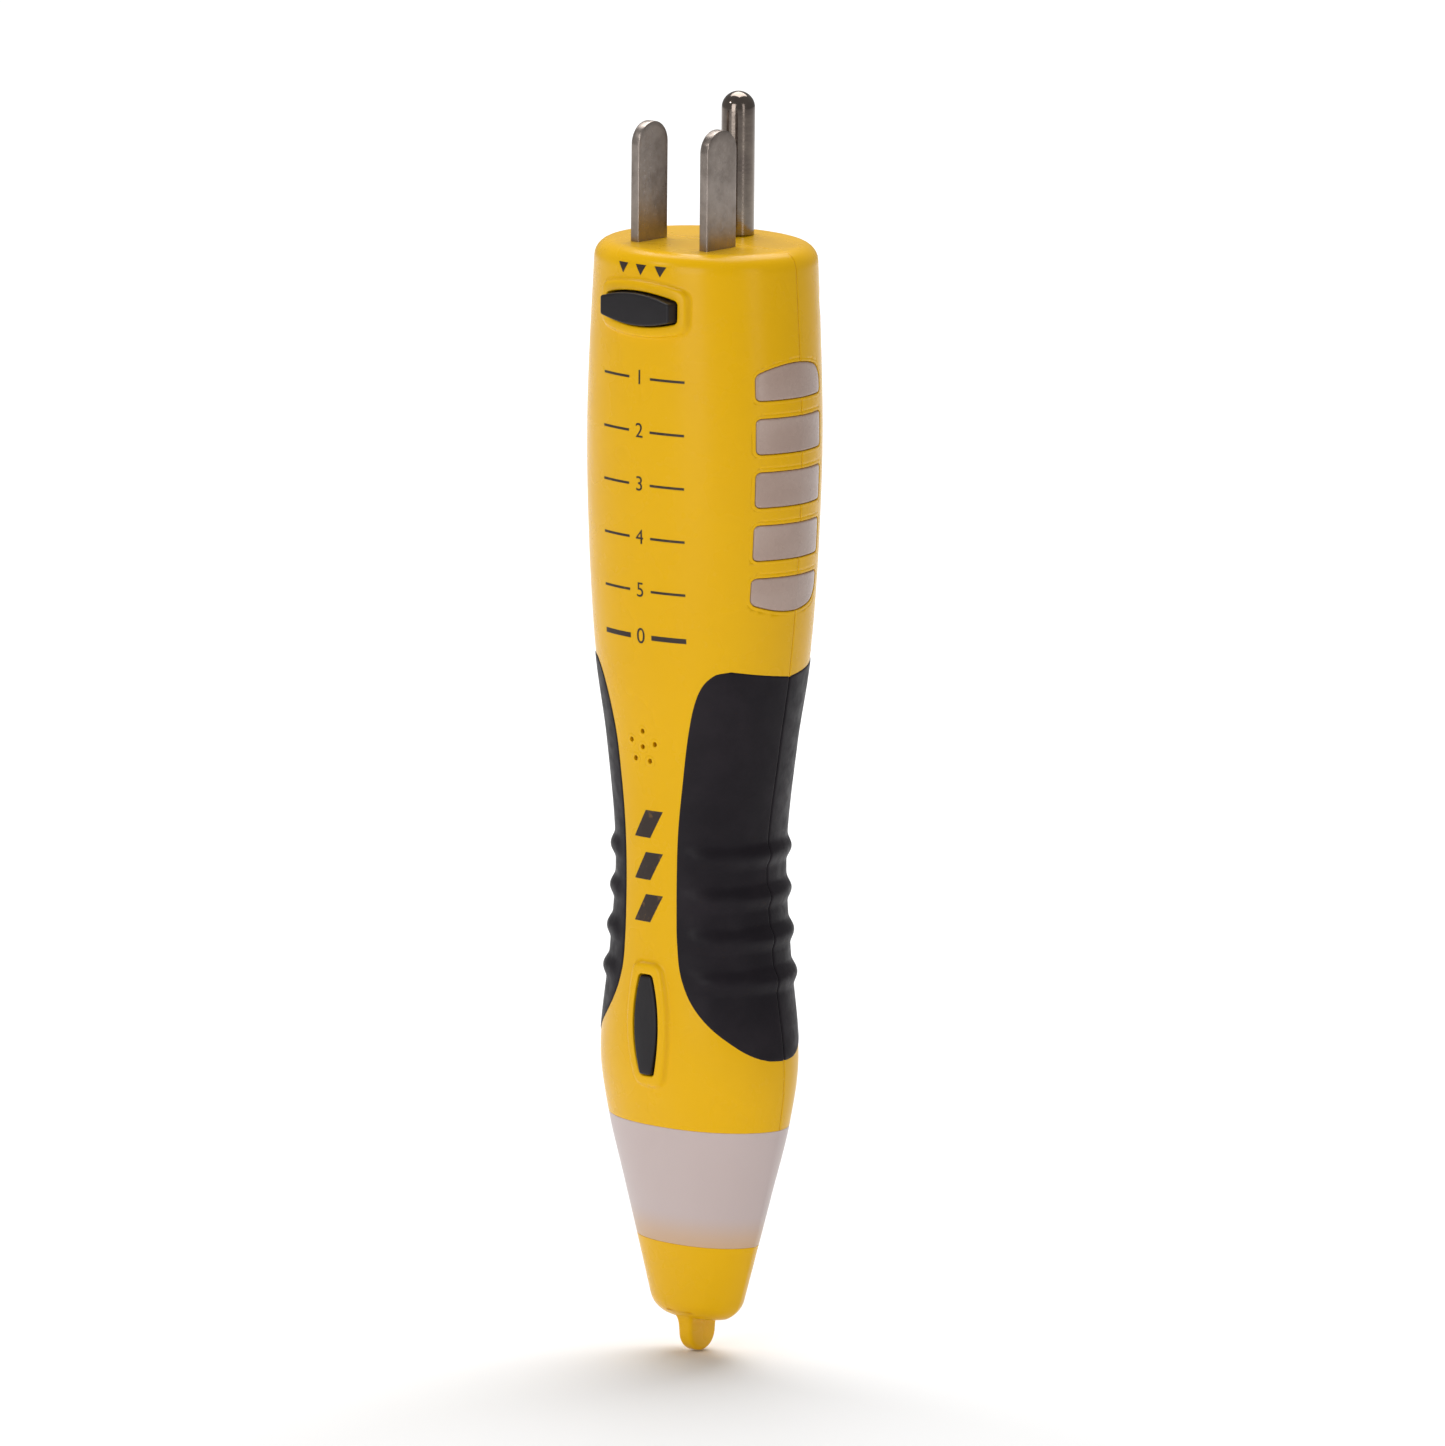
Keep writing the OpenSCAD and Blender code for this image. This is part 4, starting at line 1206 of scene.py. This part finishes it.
def add_numeral(surface, text, size, x, z):
    """A numeral in the built-in typeface, laid on the front."""
    curve = bpy.data.curves.new("numeral", "FONT")
    curve.body = text
    curve.size = size
    curve.align_x = "CENTER"
    curve.align_y = "CENTER"
    curve.resolution_u = 6
    holder = bpy.data.objects.new("numeral", curve)
    mesh = holder.to_mesh()
    flat = np.array([v.co[:2] for v in mesh.vertices])
    faces = [tuple(p.vertices) for p in mesh.polygons]
    surface.add(on_face(x + flat[:, 0], z + flat[:, 1], INK_RISE), faces)
    holder.to_mesh_clear()
    bpy.data.objects.remove(holder)


def add_row_mark(surface, text, size, row, height):
    """A numeral with a rule on each side of it, level with a row of lights."""
    z = -WINDOW_DROP - row * WINDOW_PITCH
    add_numeral(surface, text, size, 0, z)
    for left, right in ((-RULE_END, -RULE_START), (RULE_START, RULE_END)):
        add_bar(surface, left, right, z - height / 2, z + height / 2)


def add_arrowhead(surface, x):
    """A small downward arrowhead."""
    down = np.linspace(0, 1, 5)[:, None]
    across = np.linspace(-1, 1, 7)[None, :]
    half = ARROW_HALF * (1 - down) + ARROW_TIP
    z = -ARROW_DROP + ARROW_HEIGHT / 2 - ARROW_HEIGHT * down
    surface.grid(on_face(x + across * half, z + 0 * across, INK_RISE))


def make_marks():
    """The numerals and rules, the arrowheads above the test button, and the slanted bars."""
    surface = Surface()
    for row in range(ROWS):
        add_row_mark(surface, str(row + 1), NUMERAL, row, RULE_HEIGHT)
    add_row_mark(surface, "0", ZERO_NUMERAL, ZERO_ROW, 2 * RULE_HEIGHT)
    for x in (-ARROW_PITCH, 0.0, ARROW_PITCH):
        add_arrowhead(surface, x)
    for k in range(BARS):
        top = -BAR_TOP - BAR_PITCH * k
        add_bar(surface, BAR_LEFT, BAR_LEFT + BAR_WIDTH, top - BAR_HEIGHT, top, BAR_SLANT)
    marks = surface.build("printed_marks", INK)
    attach(marks, "body")


# ---- CAD nodes that stay ----

KEPT = [
    (STEEL, ["case_screws", "battery_door_screw", "battery_spring", "board_link"]),
    (BRASS, ["ground_strap", "battery_contact", "sensor_antenna"]),
    (BOARD, ["tester_board", "detector_board"]),
    (WHITE, ["blade_holder", "gfci_switch", "detector_switch", "detector_leds"]
     + [f"row_{k}_leds" for k in range(1, ROWS + 1)]),
    (BLACK, ["battery_carrier", "gfci_switch_plunger", "detector_switch_plunger", "tester_chip",
             "board_resistors", "board_diodes", "board_capacitor", "detector_chip", "buzzer"]),
    (CELL, ["upper_battery", "lower_battery"]),
    (BLUE, ["gfci_test_resistor"]),
]


def finish_kept_nodes():
    """Gives every CAD node that stays visible its material."""
    for material, nodes in KEPT:
        for node in nodes:
            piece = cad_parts[node]
            for slot in piece.material_slots:
                slot.material = material
            if not piece.material_slots:
                piece.data.materials.append(material)


# ---- Stage, light and camera ----

AZIMUTH = 40.0
ELEVATION = 10.5
ROLL = 0.5
DISTANCE_M = 2.8
VIEW_WIDTH_M = 0.2058
SENSOR_MM = 36.0
LOOK_DROP = 69.6
LOOK_RIGHT = 2.88
LOOK_AT = Vector((0, 0, -LOOK_DROP * MM))
WORLD_STRENGTH = 0.30
FLOOR_REACH = 3000
FLOOR_GAP = 0.2

# Name, place and aim in metres, size in metres, and power in watts
LIGHTS = [
    ("key", (0.15, -1.3, 0.25), LOOK_AT, (0.6, 0.9), 6.2),
    ("overhead", (-0.45, 0.6, 1.15), (-0.45, 0.6, -0.16), (1.3, 1.3), 26),
    ("spark", (-0.55, -0.95, 0.75), LOOK_AT, (0.16, 0.16), 1.3),
    ("side", (1.3, -0.3, 0.2), LOOK_AT, (0.3, 1.0), 1.8),
]


def make_stage():
    surface = Surface()
    reach = np.linspace(-FLOOR_REACH, FLOOR_REACH, 9)
    x, y = np.meshgrid(reach, reach)
    surface.grid(np.stack([x, y, np.full(x.shape, -NUB_END - FLOOR_GAP)], axis=-1))
    f = Finish("floor_paper", Specular_IOR_Level=0.2)
    f.colour(f.mixed(f.noise(3, 2), srgb(240, 240, 240), srgb(244, 244, 244)))
    f.rough(f.ranged(f.noise(8, 2), 0.8, 0.95))
    floor = surface.build("floor", f.material)


def area_light(name, place, aim, size, power):
    data = bpy.data.lights.new(name, "AREA")
    data.shape = "RECTANGLE"
    data.size, data.size_y = size
    data.energy = power
    light = bpy.data.objects.new(name, data)
    light.location = place
    light.rotation_euler = (Vector(aim) - Vector(place)).to_track_quat("-Z", "Y").to_euler()
    bpy.context.scene.collection.objects.link(light)


def make_light():
    world = bpy.data.worlds.new("studio")
    bpy.context.scene.world = world
    world.use_nodes = True
    background = world.node_tree.nodes["Background"]
    background.inputs["Color"].default_value = (1, 1, 1, 1)
    background.inputs["Strength"].default_value = WORLD_STRENGTH
    for light in LIGHTS:
        area_light(*light)


def make_camera():
    data = bpy.data.cameras.new("camera")
    data.sensor_width = SENSOR_MM
    data.lens = SENSOR_MM * DISTANCE_M / VIEW_WIDTH_M
    data.clip_start = 0.1
    data.clip_end = 50
    camera = bpy.data.objects.new("camera", data)
    turn, lift = math.radians(AZIMUTH), math.radians(ELEVATION)
    right = Vector((math.cos(turn), math.sin(turn), 0))
    target = LOOK_AT + right * LOOK_RIGHT * MM
    away = Vector((math.sin(turn) * math.cos(lift), -math.cos(turn) * math.cos(lift), math.sin(lift)))
    camera.location = target + away * DISTANCE_M
    aim = (-away).to_track_quat("-Z", "Y").to_matrix().to_4x4()
    roll = Matrix.Rotation(math.radians(ROLL), 4, "Z")
    camera.rotation_euler = (aim @ roll).to_euler()
    bpy.context.scene.collection.objects.link(camera)
    bpy.context.scene.camera = camera
    bpy.context.scene.view_settings.view_transform = "Standard"


# ---- Everything in place ----

make_camera()
make_light()
make_stage()
make_front_shell()
make_rear_shell()
for flank, flank_name in ((-1, "left"), (1, "right")):
    make_windows(flank_name + "_window_strip", flank)
    for side, side_name in ((-1, "front"), (1, "rear")):
        make_grip(f"grip_{side_name}_{flank_name}", flank, side)
make_light_ring()
make_probe_tip()
for button in BUTTONS:
    make_button(button)
for blade in ("neutral_blade", "hot_blade"):
    make_blade(blade)
make_ground_pin()
make_door()
make_marks()
finish_kept_nodes()
